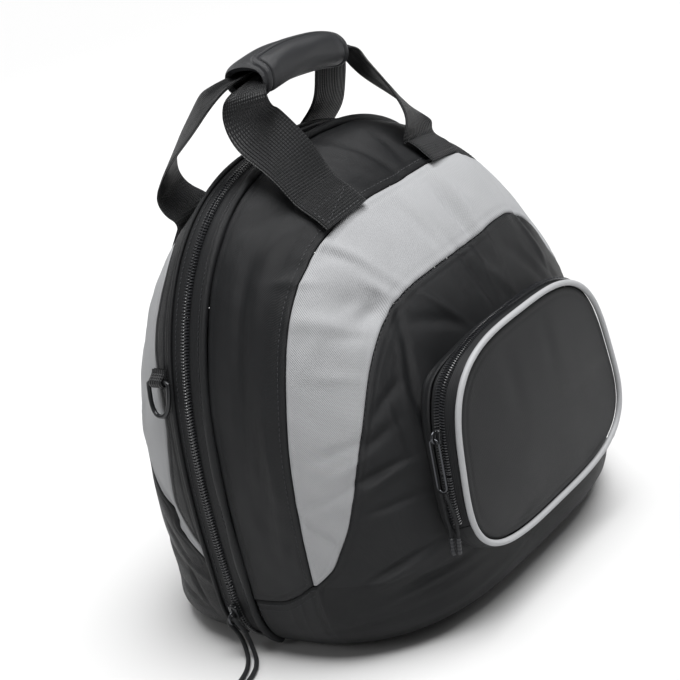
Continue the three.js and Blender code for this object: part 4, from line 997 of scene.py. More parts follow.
@dataclass
class Shell:
    """The cloth panels of one half: side panel, grey band and face panel."""

    half: Half
    welt_edge: float
    columns: int = 300
    wall: float = 2.5
    MIDDLE = (0.0, 0.0, 110.0)

    def _lengths(self, along: float, columns: int) -> np.ndarray:
        """Spread columns over the arch, closer near the band's tips.

        Args:
            along: where the tips are.
            columns: how many.

        Returns:
            Lengths along the arch.
        """
        share = np.linspace(0, 1, columns + 1)
        near = 1 - np.abs(2 * share - 1)
        length = FORM.length_of(along + (1 - along) * near ** 1.35)
        return np.where(share < 0.5, length, 2 * FORM.crown - length)

    def _inner(self, angle: np.ndarray) -> np.ndarray:
        """Find the seam between band and face.

        Args:
            angle: places along the arch.

        Returns:
            Shares of the depth.
        """
        along = FORM.along_of(angle)
        slip = table_value(self.half.along, self.half.slip, along)
        return table_value(self.half.along, self.half.inner, along) \
            - np.where(angle < math.pi / 2, slip, 0)

    def _outer(self, angle: np.ndarray) -> np.ndarray:
        """Find the seam between side panel and band, as shares of the depth."""
        return table_value(self.half.along, self.half.outer, FORM.along_of(angle))

    def _dress(self, name: str, points: np.ndarray, distance: np.ndarray, finish: Finish,
               mask: np.ndarray | None = None,
               normals: np.ndarray | None = None) -> tuple[np.ndarray, np.ndarray]:
        """Build one panel from its grid.

        Args:
            name: the CAD node that it stands for.
            points: the grid.
            distance: each point's distance from the nearest seam.
            finish: its cloth.
            mask: which cells exist.
            normals: the grid's normals, where its blocks need their own.

        Returns:
            The panel's points and normals.
        """
        middle = np.array(self.MIDDLE)
        if normals is None:
            normals = grid_normals(points, points - middle)
        points = points - normals * seam_relief(distance)[..., None]
        points[..., 2] = np.maximum(points[..., 2], 0)
        places = np.stack([walked(points, 0), walked(points, 1)], axis=-1)
        maker = MeshMaker()
        maker.grid(points, places, mask=mask)
        maker.build(name + "_cloth", finish, replaces=[name], thickness=self.wall, outward=middle)
        return points, normals

    def strip(self, name: str, near: Any, far: Any, finish: Finish, rows: int,
              sewn: Sequence[float]) -> None:
        """Build a panel between two seams.

        Args:
            name: the CAD node that it stands for.
            near: finds the seam towards the zip.
            far: finds the other seam.
            finish: its cloth.
            rows: cells across it.
            sewn: which seams have a row of stitches: 0 for near, 1 for far.
        """
        tip_angle = FORM.angle_at(FORM.length_of(self.half.along[0]))
        across = (1 - np.cos(np.linspace(0, math.pi, rows + 1))) / 2
        angles = []
        for share in across:
            foot = near(tip_angle) + (far(tip_angle) - near(tip_angle)) * share
            low = table_value(self.half.foot_deep, self.half.foot_along, foot)
            angles.append(FORM.angle_at(self._lengths(float(low), self.columns)))
        angle = np.stack(angles, axis=1)
        edge, other = near(angle), far(angle)
        points = FORM.surface(self.half, angle, edge + (other - edge) * across)
        way, run = walked(points, 1), walked(points, 0)
        distance = np.minimum.reduce([way, way[:, -1:] - way, run, run[-1:] - run])
        points, normals = self._dress(name, points, distance, finish)
        maker = MeshMaker()
        for side in sewn:
            target = np.full(len(way), STITCH_ROW) if side == 0 else way[:, -1] - STITCH_ROW
            keep = way[:, -1] > 2 * STITCH_ROW
            self._sew(maker, points[keep], normals[keep], way[keep], target[keep])
        if maker.count:
            maker.build(name + "_stitches", BLACK_THREAD)

    @staticmethod
    def _sew(maker: MeshMaker, points: np.ndarray, normals: np.ndarray, way: np.ndarray,
             target: np.ndarray) -> None:
        """Sew a row of stitches over a grid's columns.

        Args:
            maker: the mesh that gets it.
            points: the grid.
            normals: its normals.
            way: the distance walked to each point of a column.
            target: the distance at which the row crosses each column.
        """
        line, lean = (np.array([[np.interp(t, w, g[:, k]) for k in range(3)]
                                for t, w, g in zip(target, way, grid)])
                      for grid in (points, normals))
        maker.stitches(line, lean)

    def face(self) -> None:
        """Build the face panel, with the low strip that runs back under the band's tips."""
        half = self.half
        gap = FORM.gap / 2 / half.depth
        top, foot, flap, rows = self.columns, 96, 24, 58
        lag = FORM.gap / (FORM.crown - FORM.floor)

        def low_seam(share: np.ndarray) -> np.ndarray:
            """Share of the half arch where the foot seam lies."""
            return table_value(half.foot_deep, half.foot_along, share) - lag

        tip_share = half.inner[0] + gap
        top_ring = FORM.angle_at(self._lengths(float(low_seam(1.0)), top))[:-1]
        shares = np.concatenate([np.linspace(self.welt_edge, half.outer[0], flap, endpoint=False),
                                 [tip_share]])
        sides = (1 - np.cos(np.linspace(0, math.pi, foot + 1))) / 2 * 0.55 \
            + np.linspace(0, 1, foot + 1) * 0.45

        def foot_ring(share: float) -> np.ndarray:
            """Angles of the columns that go under the bag."""
            reach = FORM.length_of(low_seam(share))
            length = (2 * FORM.crown - reach + 2 * reach * sides) % (2 * FORM.crown)
            return FORM.angle_at(length)

        angle = np.empty((top + foot + 1, flap + rows + 1))
        share = np.empty_like(angle)
        for j, deep in enumerate(shares):
            ring = foot_ring(float(deep))
            angle[:, j] = np.concatenate([np.full(top, ring[-1]), ring])
            share[:, j] = deep
        ring = np.concatenate([top_ring, foot_ring(tip_share)])
        near = np.concatenate([self._inner(top_ring) + gap, np.full(foot + 1, tip_share)])
        power = half.power(ring)
        swing = np.arcsin(near ** (power / 2))
        for j in range(rows + 1):
            step = (j / rows) ** 1.45
            reach = swing + (math.pi / 2 - swing) * step
            angle[:, flap + j] = ring
            share[:, flap + j] = np.minimum(np.sin(reach) ** (2 / power), 1)
        points = FORM.surface(half, angle, share)
        points[:, -1] = FORM.surface(half, np.array([math.pi / 2]), np.array([1.0]))
        mask = np.ones((top + foot, flap + rows), bool)
        mask[:top, :flap] = False
        way = walked(points, 1)
        far_off = 99.0
        distance = np.full(angle.shape, far_off)
        distance[:top + 1, flap:] = way[:top + 1, flap:] - way[:top + 1, flap:flap + 1]
        under = way[top:]
        run = walked(points[top:], 0)
        distance[top:, :flap] = np.minimum.reduce([run, run[-1:] - run, under])[:, :flap]
        side = np.minimum(run, run[-1:] - run)[:, flap:]
        ahead = under[:, flap:] - under[:, flap:flap + 1]
        distance[top:, flap:] = np.hypot(side, ahead)
        # Normals of each block alone, because the flap's rows don't exist in the upper columns
        normals = np.zeros_like(points)
        for block in ((slice(0, top + 1), slice(flap, None)), (slice(top, None), slice(None))):
            normals[block] = grid_normals(points[block], points[block] - np.array(self.MIDDLE))
        points, normals = self._dress(half.name + "_face_panel", points, distance, BLACK_CLOTH,
                                      mask=mask, normals=normals)
        maker = MeshMaker()
        # The upper row is sewn in the seam itself
        maker.stitches(points[:top, flap], normals[:top, flap])
        # Two rows hold down each end of the low strip
        for rise in (2.6, 7.0):
            for flip in (1, -1):
                grid, lean = (values[top:, :flap + 1].transpose(1, 0, 2)[:, ::flip]
                              for values in (points, normals))
                self._sew(maker, grid, lean, walked(grid, 1), np.full(len(grid), rise))
        maker.build(half.name + "_face_panel_stitches", BLACK_THREAD)

    def build(self) -> None:
        """Build the three panels."""
        gap = FORM.gap / 2 / self.half.depth
        name = self.half.name
        welt = self.welt_edge
        # The side panel's edge is tucked in beside the welt
        self.strip(name + "_side_panel", lambda a: np.full(np.shape(a), welt - 0.9 / self.half.depth),
                   lambda a: self._outer(a) - gap, BLACK_CLOTH, 34, [1])
        self.strip(name + "_grey_band", lambda a: self._outer(a) + gap,
                   lambda a: self._inner(a) - gap, GREY_CLOTH, 30, [])
        self.face()


@dataclass
class MainZip:
    """The zip over the arch: two tapes, the coil, its welts and the slider."""

    coil_half_width: float = 3
    coil_height: float = 1.7
    tape_front: float = 11
    tape_back: float = 9.4
    tape_thickness: float = 1.2
    recess: float = 1.2
    front_welt: float = 3.2
    back_welt: float = 1.7
    foot_height: float = 6
    tooth_pitch: float = 2.2
    slider_height: float = 37
    slider_size: tuple[float, float, float] = (13, 9, 4.5)
    bail_radius: float = 4.7
    bail_wire: float = 0.9
    bail_drop: float = 2.5

    def welt_middle(self, front: bool) -> float:
        """Say how far the front or back welt's middle lies from the zip's middle."""
        tape, radius = (self.tape_front, self.front_welt) if front else (self.tape_back, self.back_welt)
        return self.coil_half_width + tape + 2 * FORM.gap + radius

    def welt_edge(self, half: Half) -> float:
        """Say where a half's cloth starts, as a share of its depth."""
        radius = self.front_welt if half is FRONT else self.back_welt
        return (self.welt_middle(half is FRONT) + radius + FORM.gap) / half.depth

    def _sweep(self, profile: np.ndarray, step: float = 3.0) -> tuple[np.ndarray, np.ndarray]:
        """Carry a profile over the arch.

        Args:
            profile: places across and heights, in order.
            step: the length of a step.

        Returns:
            The grid and its places on the cloth.
        """
        start = float(FORM.length_at(FORM.foot_angle(self.foot_height)))
        end = 2 * FORM.crown - start
        length = np.linspace(start, end, int((end - start) / step) + 1)[:, None]
        points = FORM.over_arch(length, profile[None, :, 0], profile[None, :, 1])
        across = walked(profile[None], 1)
        return points, stacked(length, across)

    def _tape(self, name: str, near: float, far: float) -> None:
        """Build one tape, with its thick woven edge beside the coil.

        Args:
            name: the CAD node that it stands for.
            near: its edge at the coil.
            far: its other edge.
        """
        top, low = -self.recess, -self.recess - self.tape_thickness
        share = np.linspace(0, 1, 17)
        y = near + (far - near) * share
        swell = 0.4 * np.exp(-((share - 0.3) / 0.08) ** 2) - 0.4 * np.exp(-((share - 0.66) / 0.04) ** 2)
        upper = np.stack([y, top + swell], 1)
        lower = np.stack([y[::-1], np.full(17, low)], 1)
        points, places = self._sweep(np.concatenate([upper, lower]))
        maker = MeshMaker()
        maker.grid(points, places, wrap=True)
        maker.caps(points)
        maker.build(name + "_woven", BLACK_TAPE, replaces=[name])
        stitches = MeshMaker()
        row = near + (far - near) * 0.66
        line, _ = self._sweep(np.array([[row, top], [row, top + 1]]), 4.0)
        stitches.stitches(line[:, 0], line[:, 1] - line[:, 0])
        stitches.build(name + "_stitches", BLACK_THREAD)

    def _coil(self) -> None:
        """Build the coil: a turn of nylon wire for each tooth and a cord under them."""
        start = float(FORM.length_at(FORM.foot_angle(self.foot_height))) + 2
        end = 2 * FORM.crown - start
        maker = MeshMaker()
        bow = np.linspace(-1, 1, 7)
        for place in np.arange(start, end, self.tooth_pitch):
            for side in (-1, 1):
                y = side * (0.1 + 1.5 * (bow + 1))
                rise = -self.recess + 0.5 + self.coil_height * 0.85 * np.sqrt(np.clip(1 - bow ** 4, 0, 1))
                length = place + (side + 1) / 4 * self.tooth_pitch + 0.3 * bow
                maker.tube(FORM.over_arch(length, y, rise), 0.62, 6)
        core, _ = self._sweep(np.array([[0, -0.5], [1, -0.5]]), 4.0)
        maker.tube(core[:, 0], 1.0)
        maker.build("main_zip_coil_teeth", BLACK_NYLON, replaces=["main_zip_coil"])

    def _welt(self, name: str, middle: float, radius: float) -> None:
        """Build one welt: cloth folded round a cord, sewn close to it.

        Args:
            name: the CAD node that it stands for.
            middle: its place across the arch.
            radius: its radius.
        """
        turn = np.linspace(0, TURN, 17)[:-1]
        profile = np.stack([middle + radius * np.cos(turn), radius * np.sin(turn)], 1)
        points, places = self._sweep(profile)
        length = places[..., 0]
        wave = 0.05 * radius * np.sin(length / 17 + 1.7 * np.sin(length / 41))[..., None]
        centre = points.mean(1, keepdims=True)
        points = centre + (points - centre) * (1 + wave)
        maker = MeshMaker()
        maker.grid(points, places, wrap=True)
        maker.caps(points)
        maker.build(name + "_cloth", BLACK_CLOTH, replaces=[name])

    def _slider(self) -> None:
        """Build the slider and the wire bail that the cord goes through."""
        angle = FORM.foot_angle(self.slider_height)
        length = float(FORM.length_at(angle))
        foot = FORM.over_arch(np.array(length), 0.0, 0.0)
        outward = FORM.over_arch(np.array(length), 0.0, 1.0) - foot
        run = unit(FORM.over_arch(np.array(length - 1), 0.0, 0.0) - foot)
        seat = foot + outward * (self.coil_height - self.recess + FORM.gap)
        Slider(self.slider_size, self.bail_radius, self.bail_wire, self.bail_drop).build(
            "main_zip", seat, run, unit(outward))

    def build(self) -> None:
        """Build every piece of the zip."""
        # Each tape runs on a little under the coil and under its welt, as the sewn one does
        near = self.coil_half_width + FORM.gap
        self._tape("main_zip_tape_front", -near + 2.6, -near - self.tape_front - 3.2)
        self._tape("main_zip_tape_back", near - 2.6, near + self.tape_back + 2.2)
        self._coil()
        self._welt("front_welt", -self.welt_middle(True), self.front_welt)
        self._welt("back_welt", self.welt_middle(False), self.back_welt)
        self._slider()


@dataclass
class Slider:
    """A die-cast zip slider: body with a waist, a raised bridge and a wire bail."""

    size: tuple[float, float, float]
    bail_radius: float
    bail_wire: float
    bail_drop: float = 0.0
    # Height and growth of each ring of the body, for a slider as high as PROFILE_HEIGHT
    PROFILE = ((0, -0.5), (0.25, -0.15), (0.8, 0), (1.5, 0), (1.8, -0.7), (2.3, -0.8),
               (2.6, -0.2), (3.2, -0.1), (3.7, -0.4), (3.9, -1.0))
    PROFILE_HEIGHT = 4.4

    def build(self, name: str, seat: np.ndarray, run: np.ndarray, outward: np.ndarray) -> None:
        """Build the slider.

        Args:
            name: the start of its CAD nodes' names.
            seat: the middle of its foot.
            run: its direction along the zip.
            outward: its direction away from the cloth.
        """
        across = np.cross(outward, run)
        frame_of = np.stack([run, across, outward])
        length, width, height = self.size
        maker = MeshMaker()
        turn = np.linspace(0, TURN, 33)[:-1]
        rings = []
        waist = 1 - 0.16 * np.exp(-(np.cos(turn) / 0.35) ** 2)
        for z, grow in self.PROFILE:
            x = (length / 2 + grow) * signed_power(np.cos(turn), 0.62)
            y = (width / 2 + grow) * signed_power(np.sin(turn), 0.62) * waist
            rings.append(np.stack([x, y, np.full(32, z * height / self.PROFILE_HEIGHT)], 1))
        low, high = (np.repeat(ring.mean(0)[None], 32, 0) for ring in (rings[0], rings[-1]))
        maker.grid(np.stack([low, *rings, high]) @ frame_of + seat, wrap=True)
        bow = np.linspace(0, math.pi, 15)
        bridge = np.stack([length * 0.34 * np.cos(bow), np.zeros(15),
                           height * 0.8 + height * 0.2 * np.sin(bow)], 1)
        maker.tube(bridge @ frame_of + seat, 0.9, 8, flat=1.4)
        maker.build(name + "_slider_body", DARK_METAL, replaces=[name + "_slider"])
        bow = np.linspace(0, math.pi, 25)
        bail = np.stack([self.bail_drop + self.bail_radius * np.cos(bow), np.zeros(25),
                         height + 0.3 + self.bail_radius * np.sin(bow)], 1)
        maker = MeshMaker()
        maker.tube(bail @ frame_of + seat, self.bail_wire, 12)
        maker.build(name + "_bail_wire", BRIGHT_METAL, replaces=[name + "_bail"])


@dataclass
class Pocket:
    """The front pocket: gusset, zip, piping and padded face."""

    zip_start: float = -0.35
    zip_across: float = 0.62
    seam: float = 0.32
    slit: float = 0.026
    wall: float = 1.8
    crown: float = 5
    face_thickness: float = 2.5
    coil_half_width: float = 3.4
    coil_height: float = 1.6
    coil_seat: float = 0.45
    tooth_pitch: float = 1.9
    slider_height: float = 153
    slider_size: tuple[float, float, float] = (10, 7.5, 4)
    bail_radius: float = 3.7
    bail_wire: float = 0.9
    puller_top: tuple[float, float, float] = (-109.3, -160.1, 156.05)
    puller_wire: float = 0.75
    puller_length: float = 39.4
    puller_width: float = 9.0
    # How far the puller goes across for each millimetre that it hangs down
    puller_lean: float = 0.082

    def _strip(self, name: str, turn: np.ndarray, low: float, high: float, finish: Finish,
               closed: bool = False) -> None:
        """Build a strip of the pocket's side wall.

        Args:
            name: the CAD node that it stands for.
            turn: its columns round the pocket.
            low: its edge towards the bag, as a share of the wall.
            high: its other edge.
            finish: its cloth.
            closed: whether it goes all the way round.
        """
        across = low + (high - low) * (1 - np.cos(np.linspace(0, math.pi, 15))) / 2
        points = FORM.gusset(turn[:, None], across[None])
        way = walked(points, 1)
        dip = seam_relief(np.minimum(way, way[:, -1:] - way), 0.8, 2.0, 0.25, 3.4)
        ripple = 0.3 * np.sin(9 * turn + 2 * np.sin(3 * turn))[:, None] * np.sin(math.pi * (across - low)
                                                                                / (high - low))
        points = FORM.gusset(turn[:, None], across[None], -dip + ripple)
        maker = MeshMaker()
        places = np.stack([walked(points, 0), way], axis=-1)
        maker.grid(points, places, wrap_rows=closed)
        maker.build(name + "_cloth", finish, replaces=[name], thickness=self.wall,
                    outward=(0, -150, FORM.pocket_height))

    def _coil(self) -> None:
        """Build the pocket zip's teeth over the top and sides."""
        turns = np.linspace(self.zip_start + 0.07, math.pi - self.zip_start - 0.07, 900)
        line = FORM.gusset(turns, self.zip_across)
        way = walked(line, 0)
        maker = MeshMaker()
        bow = np.linspace(-1, 1, 7)
        for place in np.arange(0.5, way[-1] - 0.5, self.tooth_pitch):
            turn = float(np.interp(place, way, turns))
            middle = FORM.gusset(np.array(turn), self.zip_across)
            up = unit(FORM.gusset(np.array(turn), self.zip_across, 1.0) - middle)
            side = unit(FORM.gusset(np.array(turn), self.zip_across + 0.05) - middle)
            run = np.cross(side, up)
            for half in (-1, 1):
                y = half * (0.35 + 1.5 * (bow + 1))
                rise = 0.2 + self.coil_seat + self.coil_height * 0.85 * np.sqrt(np.clip(1 - bow ** 4, 0, 1))
                slant = (half + 1) / 4 * self.tooth_pitch + 0.3 * bow
                maker.tube(middle + side * y[:, None] + up * rise[:, None] + run * slant[:, None],
                           0.52, 5)
        maker.build("pocket_zip_coil_teeth", BLACK_NYLON, replaces=["pocket_zip_coil"])

    def _piping(self) -> None:
        """Build the light piping round the face, with its join at the lower right."""
        turn = np.linspace(0, TURN, 241)[:-1]
        x, z = FORM.pocket_edge(turn, 0)
        path = np.stack([x, np.full(240, -FORM.pocket_reach), z], 1)
        join = 1 + 0.12 * np.exp(-((turn - 5.35) / 0.02) ** 2) - 0.1 * np.exp(-((turn - 5.32) / 0.02) ** 2)
        maker = MeshMaker()
        maker.tube(path, 0.88 * FORM.piping_radius * (join + 0.015 * np.sin(21 * turn)), 16, closed=True)
        maker.build("pocket_piping_satin", GREY_PIPING, replaces=["pocket_piping"])

    def _face(self) -> None:
        """Build the padded face: crowned, pulled in at its seam and softly creased."""
        turn = np.linspace(0, TURN, 181)[:-1]
        share = 1 - np.linspace(0, 1, 41) ** 1.35
        x, z = FORM.pocket_edge(turn, -(FORM.piping_radius + FORM.gap))
        px = x[:, None] * share
        pz = FORM.pocket_height + (z[:, None] - FORM.pocket_height) * share
        bulge = self.crown * (1 - share ** 2)
        crease = (0.9 * np.exp(-(((px + 62) / 26) ** 2 + ((pz - 78 - 0.3 * px) / 7) ** 2))
                  + 0.7 * np.exp(-(((px + 30) / 9) ** 2 + ((pz - 165) / 26) ** 2))
                  + 0.6 * np.exp(-(((px - 20) / 8) ** 2 + ((pz - 168) / 24) ** 2))
                  + 0.8 * np.exp(-(((px - 58) / 22) ** 2 + ((pz - 84 + 0.4 * px) / 8) ** 2))
                  + 0.25 * np.sin(px / 14 + 1.2 * np.sin(pz / 19)) * np.sin(pz / 17 + px / 29))
        edge = np.linalg.norm(np.stack([x, z - FORM.pocket_height]), axis=0)[:, None] * (1 - share)
        depth = bulge - crease * smooth_step(edge / 14) - seam_relief(edge, 1.4, 4.0, 0.3, 5.5)
        points = np.stack([px, -FORM.pocket_reach - depth, pz], axis=-1)
        maker = MeshMaker()
        maker.grid(points, np.stack([px, pz], axis=-1), wrap_rows=True)
        maker.build("pocket_face_cloth", BLACK_CLOTH, replaces=["pocket_face"],
                    thickness=self.face_thickness, outward=(0, -100, FORM.pocket_height))

    def _slider(self) -> None:
        """Seat the pocket's slider on the coil of its left side."""
        turn = math.pi
        while FORM.pocket_edge(np.array(turn), 0)[1] < self.slider_height:
            turn -= 0.002
        middle = FORM.gusset(np.array(turn), self.zip_across)
        outward = unit(FORM.gusset(np.array(turn), self.zip_across, 1.0) - middle)
        run = FORM.gusset(np.array(turn + 0.02), self.zip_across) - middle
        run = unit(run - outward * run.dot(outward))
        seat = middle + outward * (self.coil_height + self.coil_seat + 2 * FORM.gap)
        Slider(self.slider_size, self.bail_radius, self.bail_wire).build("pocket_zip", seat, run, outward)

    def _puller(self) -> None:
        """Build the long wire loop that hangs from the slider."""
        top, wire = self.puller_top, self.puller_wire
        end = (self.puller_width - 2 * wire) / 2
        straight = self.puller_length - 2 * wire - 2 * end
        bow = np.linspace(0, math.pi, 15)
        drops = np.concatenate([end * np.sin(bow) - end, -straight - end - end * np.sin(bow)])
        sides = np.concatenate([end * np.cos(bow), -end * np.cos(bow)])
        path = np.stack([top[0] + self.puller_lean * drops, top[1] + sides, top[2] + drops], 1)
        maker = MeshMaker()
        maker.tube(path, wire, 10, closed=True)
        maker.build("pocket_puller_wire", BRIGHT_METAL, replaces=["pocket_puller"])

    def build(self) -> None:
        """Build every piece of the pocket."""
        ring = np.linspace(0, TURN, 221)[:-1]
        self._strip("pocket_gusset", ring, 0, self.seam - self.slit, BLACK_CLOTH, closed=True)
        start, end = self.zip_start, math.pi - self.zip_start
        low = self.seam + self.slit
        self._strip("pocket_zip_tape", np.linspace(start, end, 161), low, 1, BLACK_TAPE)
        self._strip("pocket_bottom_strip", np.linspace(end + 0.01, start + TURN - 0.01, 81), low, 1,
                    BLACK_CLOTH)
        self._coil()
        self._piping()
        self._face()
        self._slider()
        self._puller()


@dataclass
class PullCords:
    """The cords on the two sliders, each leg its own piece with a moulded end."""

    main_radius: float = 1.7
    pocket_radius: float = 1.2
    end_radius: float = 2
    end_length: float = 12

    # Routes, the same points as in the CAD model
    ROUTES = {
        "main_pull_cord_a": [
            (-185.6, -0.35, 33.6), (-185.7, -2.8, 33.3), (-185, -5, 29.4), (-183, -5.4, 24.5),
            (-181.6, -5.4, 19), (-180.9, -5.9, 13.2), (-181.2, -7.2, 7.4),
            (-183.4, -10.2, 3.2), (-188, -14.8, 2.1), (-195, -20.2, 2.1), (-203.5, -24, 2.1),
            (-212.5, -26.6, 2.1), (-221.5, -30, 2.1), (-229.5, -35.5, 2.1), (-235.5, -43, 2.1)],
        "main_pull_cord_b": [
            (-185.6, 0.35, 33.6), (-185.7, 2.8, 33.3), (-185.4, 5, 29), (-183.8, 3.8, 24),
            (-182.6, 1.8, 19), (-182, 0.3, 13.2), (-182.8, -1.4, 7.4),
            (-185.6, -4.4, 3.2), (-191, -9.2, 2.1), (-199, -14.8, 2.1), (-208, -18.6, 2.1),
            (-217.5, -21, 2.1), (-226.5, -24.4, 2.1), (-234.5, -29.6, 2.1), (-241, -36.6, 2.1)],
        "pocket_pull_cord_a": [
            (-112.5, -161.9, 117.1), (-112.6, -163.4, 110), (-112.2, -164.4, 102.5),
            (-111.6, -164.4, 96), (-111.4, -164, 89.5), (-112.2, -163.6, 83.5)],
        "pocket_pull_cord_b": [
            (-112.5, -158.3, 117.1), (-112.8, -158.4, 110), (-112.8, -158.2, 102.5),
            (-112.4, -158, 96), (-112.4, -158.2, 89.5), (-113.6, -158.6, 83.5)],
    }

    def build(self) -> None:
        for name, route in self.ROUTES.items():
            radius = self.main_radius if name.startswith("main") else self.pocket_radius
            path = even_path(np.array(route), 1.2)
            run = unit(path[-1] - path[-2])
            start = path[-1] + run * FORM.gap
            start[2] = max(start[2], self.end_radius + FORM.gap)
            stop = start + run * self.end_length
            stop[2] = max(stop[2], self.end_radius + FORM.gap)
            share = np.linspace(0, 1, 25)
            ribs = self.end_radius * (0.86 + 0.1 * np.cos(share * 5 * TURN) * (share < 0.8))
            ribs[[0, -1]] *= 0.75
            end_name = name.replace("pull_cord", "cord_end")
            maker = MeshMaker()
            maker.tube(start + (stop - start) * share[:, None], ribs, 14)
            end = maker.build(end_name + "_moulded", BLACK_PLASTIC, replaces=[end_name])
            maker = MeshMaker()
            maker.tube(path, radius, 12)
            cord = maker.build(name + "_braid", BLACK_CORD, replaces=[name])


# Point, direction across and width of a place on the webbing
Station = tuple[np.ndarray, np.ndarray, float]


@dataclass
class Handles:
    """Two webbing handles, gathered in one padded wrap."""

    half_span: float = 60
    width: float = 42
    thickness: float = 2.2
    padding: float = 1.8
    wrap_length: float = 96
    wrap_middle: float = 2
    wrap_width: float = 41
    wrap_depth: float = 25.5
    wrap_height: float = 387.5
    wrap_arch: float = 6
    wrap_tilt: float = 0.055
    wrap_offset: float = -15
    wrap_lane: float = 7.7
    gather: float = 0.34
    # Columns of a handle's webbing, and how many are smoothed into one another
    columns: int = 421
    smoothing: int = 33
    # The flap that closes the wrap: its middle as a turn round the wrap, and its sizes
    flap_middle: float = 3.12
    flap_half_length: float = 45.5
    flap_half_height: float = 26
    flap_corner: float = 10
    binding: float = 5
    girth: float = 17.8

    # out, reach, rise, turn and width of each station, from the wrap to the sewn end
    LEGS = {
        ("front", -1): [
            (0.833, 0.122, 1.152, 0, 0.66), (0.94, 0.14, 1.148, 0, 0.86), (1.01, 0.15, 1.138, 3, 0.94),
            (1.03, 0.156, 1.12, 10, 1), (1.025, 0.159, 1.096, 26, 1), (1.01, 0.185, 1.073, 42, 1),
            (1, 0.247, 1.045, 56, 1), (1, 0.306, 1.018, 68, 1), (1, 0.355, 0.987, 80, 1),
            (1, 0.395, 0.951, 88, 1)],
        ("front", 1): [
            (0.88, 0.139, 1.154, 0, 0.4), (0.985, 0.151, 1.145, 2, 0.5), (1.035, 0.167, 1.126, 10, 0.56),
            (1.04, 0.191, 1.106, 20, 0.62), (1.03, 0.235, 1.087, 28, 0.68),
            (1.017, 0.286, 1.066, 34, 0.72), (1.017, 0.333, 1.044, 44, 0.76), (1.017, 0.383, 1.015, 54, 0.8),
            (1.015, 0.428, 0.989, 66, 0.86), (1.012, 0.446, 0.966, 76, 0.93), (1.005, 0.437, 0.949, 85, 1)],
        ("back", -1): [
            (0.833, -0.058, 1.171, 0, 0.36), (0.967, -0.042, 1.168, 2, 0.42),
            (1.075, -0.015, 1.158, 14, 0.48), (1.133, 0.035, 1.145, 28, 0.56),
            (1.117, 0.108, 1.127, 40, 0.7), (1.075, 0.2, 1.104, 46, 0.84),
            (1.033, 0.323, 1.072, 52, 0.95), (1.008, 0.431, 1.043, 58, 1), (1, 0.504, 1.015, 62, 1),
            (1, 0.569, 0.982, 66, 1), (1, 0.581, 0.955, 70, 1), (1, 0.546, 0.932, 78, 1),
            (1, 0.485, 0.914, 86, 1), (1, 0.438, 0.905, 90, 1), (1, 0.423, 0.894, 90, 1)],
        ("back", 1): [
            (0.9, -0.058, 1.149, 0, 0.34), (1.008, -0.05, 1.142, 10, 0.42),
            (1.083, -0.023, 1.124, 40, 0.52), (1.075, 0, 1.099, 70, 0.66), (1.05, 0.015, 1.07, 84, 0.76),
            (1.025, 0.031, 1.043, 88, 0.82), (1.008, 0.065, 1.018, 90, 0.9), (1, 0.119, 0.999, 90, 1),
            (1, 0.2, 0.973, 90, 1), (1, 0.285, 0.946, 90, 1), (1, 0.358, 0.919, 90, 1),
            (1, 0.409, 0.9, 90, 1)],
    }
    ANCHORS = {"front": (69.0, 89.0), "back": (57.0, 71.0)}

    def _anchor(self, half: Half, side: int, reach: float) -> Station:
        """Find a station of a sewn end.

        Args:
            half: front or back.
            side: -1 for left.
            reach: its distance from the main zip.

        Returns:
            Point, direction across and width.
        """
        x = side * self.half_span
        slope = (FORM.roof(half, x + 3, reach) - FORM.roof(half, x - 3, reach)) / 6
        fall = (FORM.roof(half, x, reach + 3) - FORM.roof(half, x, reach - 3)) / 6
        outward = unit(np.array([-slope, -fall * half.sign, 1.0]))
        point = np.array([x, half.sign * reach, FORM.roof(half, x, reach)])
        lift = self.thickness / 2 + FORM.gap + self.padding
        return point + outward * lift, unit(np.array([1.0, 0, slope])), self.width

    def _leg(self, half: Half, side: int) -> list[Station]:
        """Find the stations of one leg, from its sewn end up.

        Args:
            half: front or back.
            side: -1 for left.

        Returns:
            The stations.
        """
        start, end = self.ANCHORS[half.name]
        anchors = [self._anchor(half, side, reach) for reach in (end, (start + end) / 2, start)]
        stations = []
        for out, reach, rise, turn, width in self.LEGS[(half.name, side)]:
            across = anchors[2][1] * -side * math.sin(math.radians(turn))
            across = across + np.array([0, half.sign * math.cos(math.radians(turn)), 0])
            point = np.array([side * out * self.half_span, half.sign * reach * half.depth,
                              rise * FORM.height])
            stations.append((point, across, self.width * width))
        if side > 0:
            anchors = [(p, -a, w) for p, a, w in anchors]
        return anchors + stations[::-1]

    def level(self, x: np.ndarray) -> np.ndarray:
        """Find the height of the wrap's middle line at places along it."""
        place = x - self.wrap_middle
        return self.wrap_height + self.wrap_arch * (1 - (2 * place / self.wrap_length) ** 2) \
            - self.wrap_tilt * place

    def _webbing(self, half: Half) -> None:
        """Build one handle's webbing, flat where it is free and gathered at the wrap.

        Args:
            half: front or back.
        """
        middle = []
        for share in (-0.6, 0, 0.6):
            x = self.wrap_middle + share * self.wrap_length / 2
            point = np.array([x, self.wrap_offset + half.sign * self.wrap_lane, float(self.level(x))])
            middle.append((point, np.array([0, float(half.sign), 0]), self.width * self.gather))
        stations = self._leg(half, -1) + middle + self._leg(half, 1)[::-1]
        places = np.linspace(0, len(stations) - 1, self.columns)
        path = spline(np.array([s[0] for s in stations]), places)
        across = spline(np.array([s[1] for s in stations]), places)
        width = np.interp(places, np.arange(len(stations)), [s[2] for s in stations])
        # The stations are smoothed into one another, but not where the ends are sewn down
        kernel = np.hanning(self.smoothing) / np.hanning(self.smoothing).sum()
        near_end = np.minimum(places, places[-1] - places)
        loose = smooth_step((near_end - 1.5) / 2)[:, None]

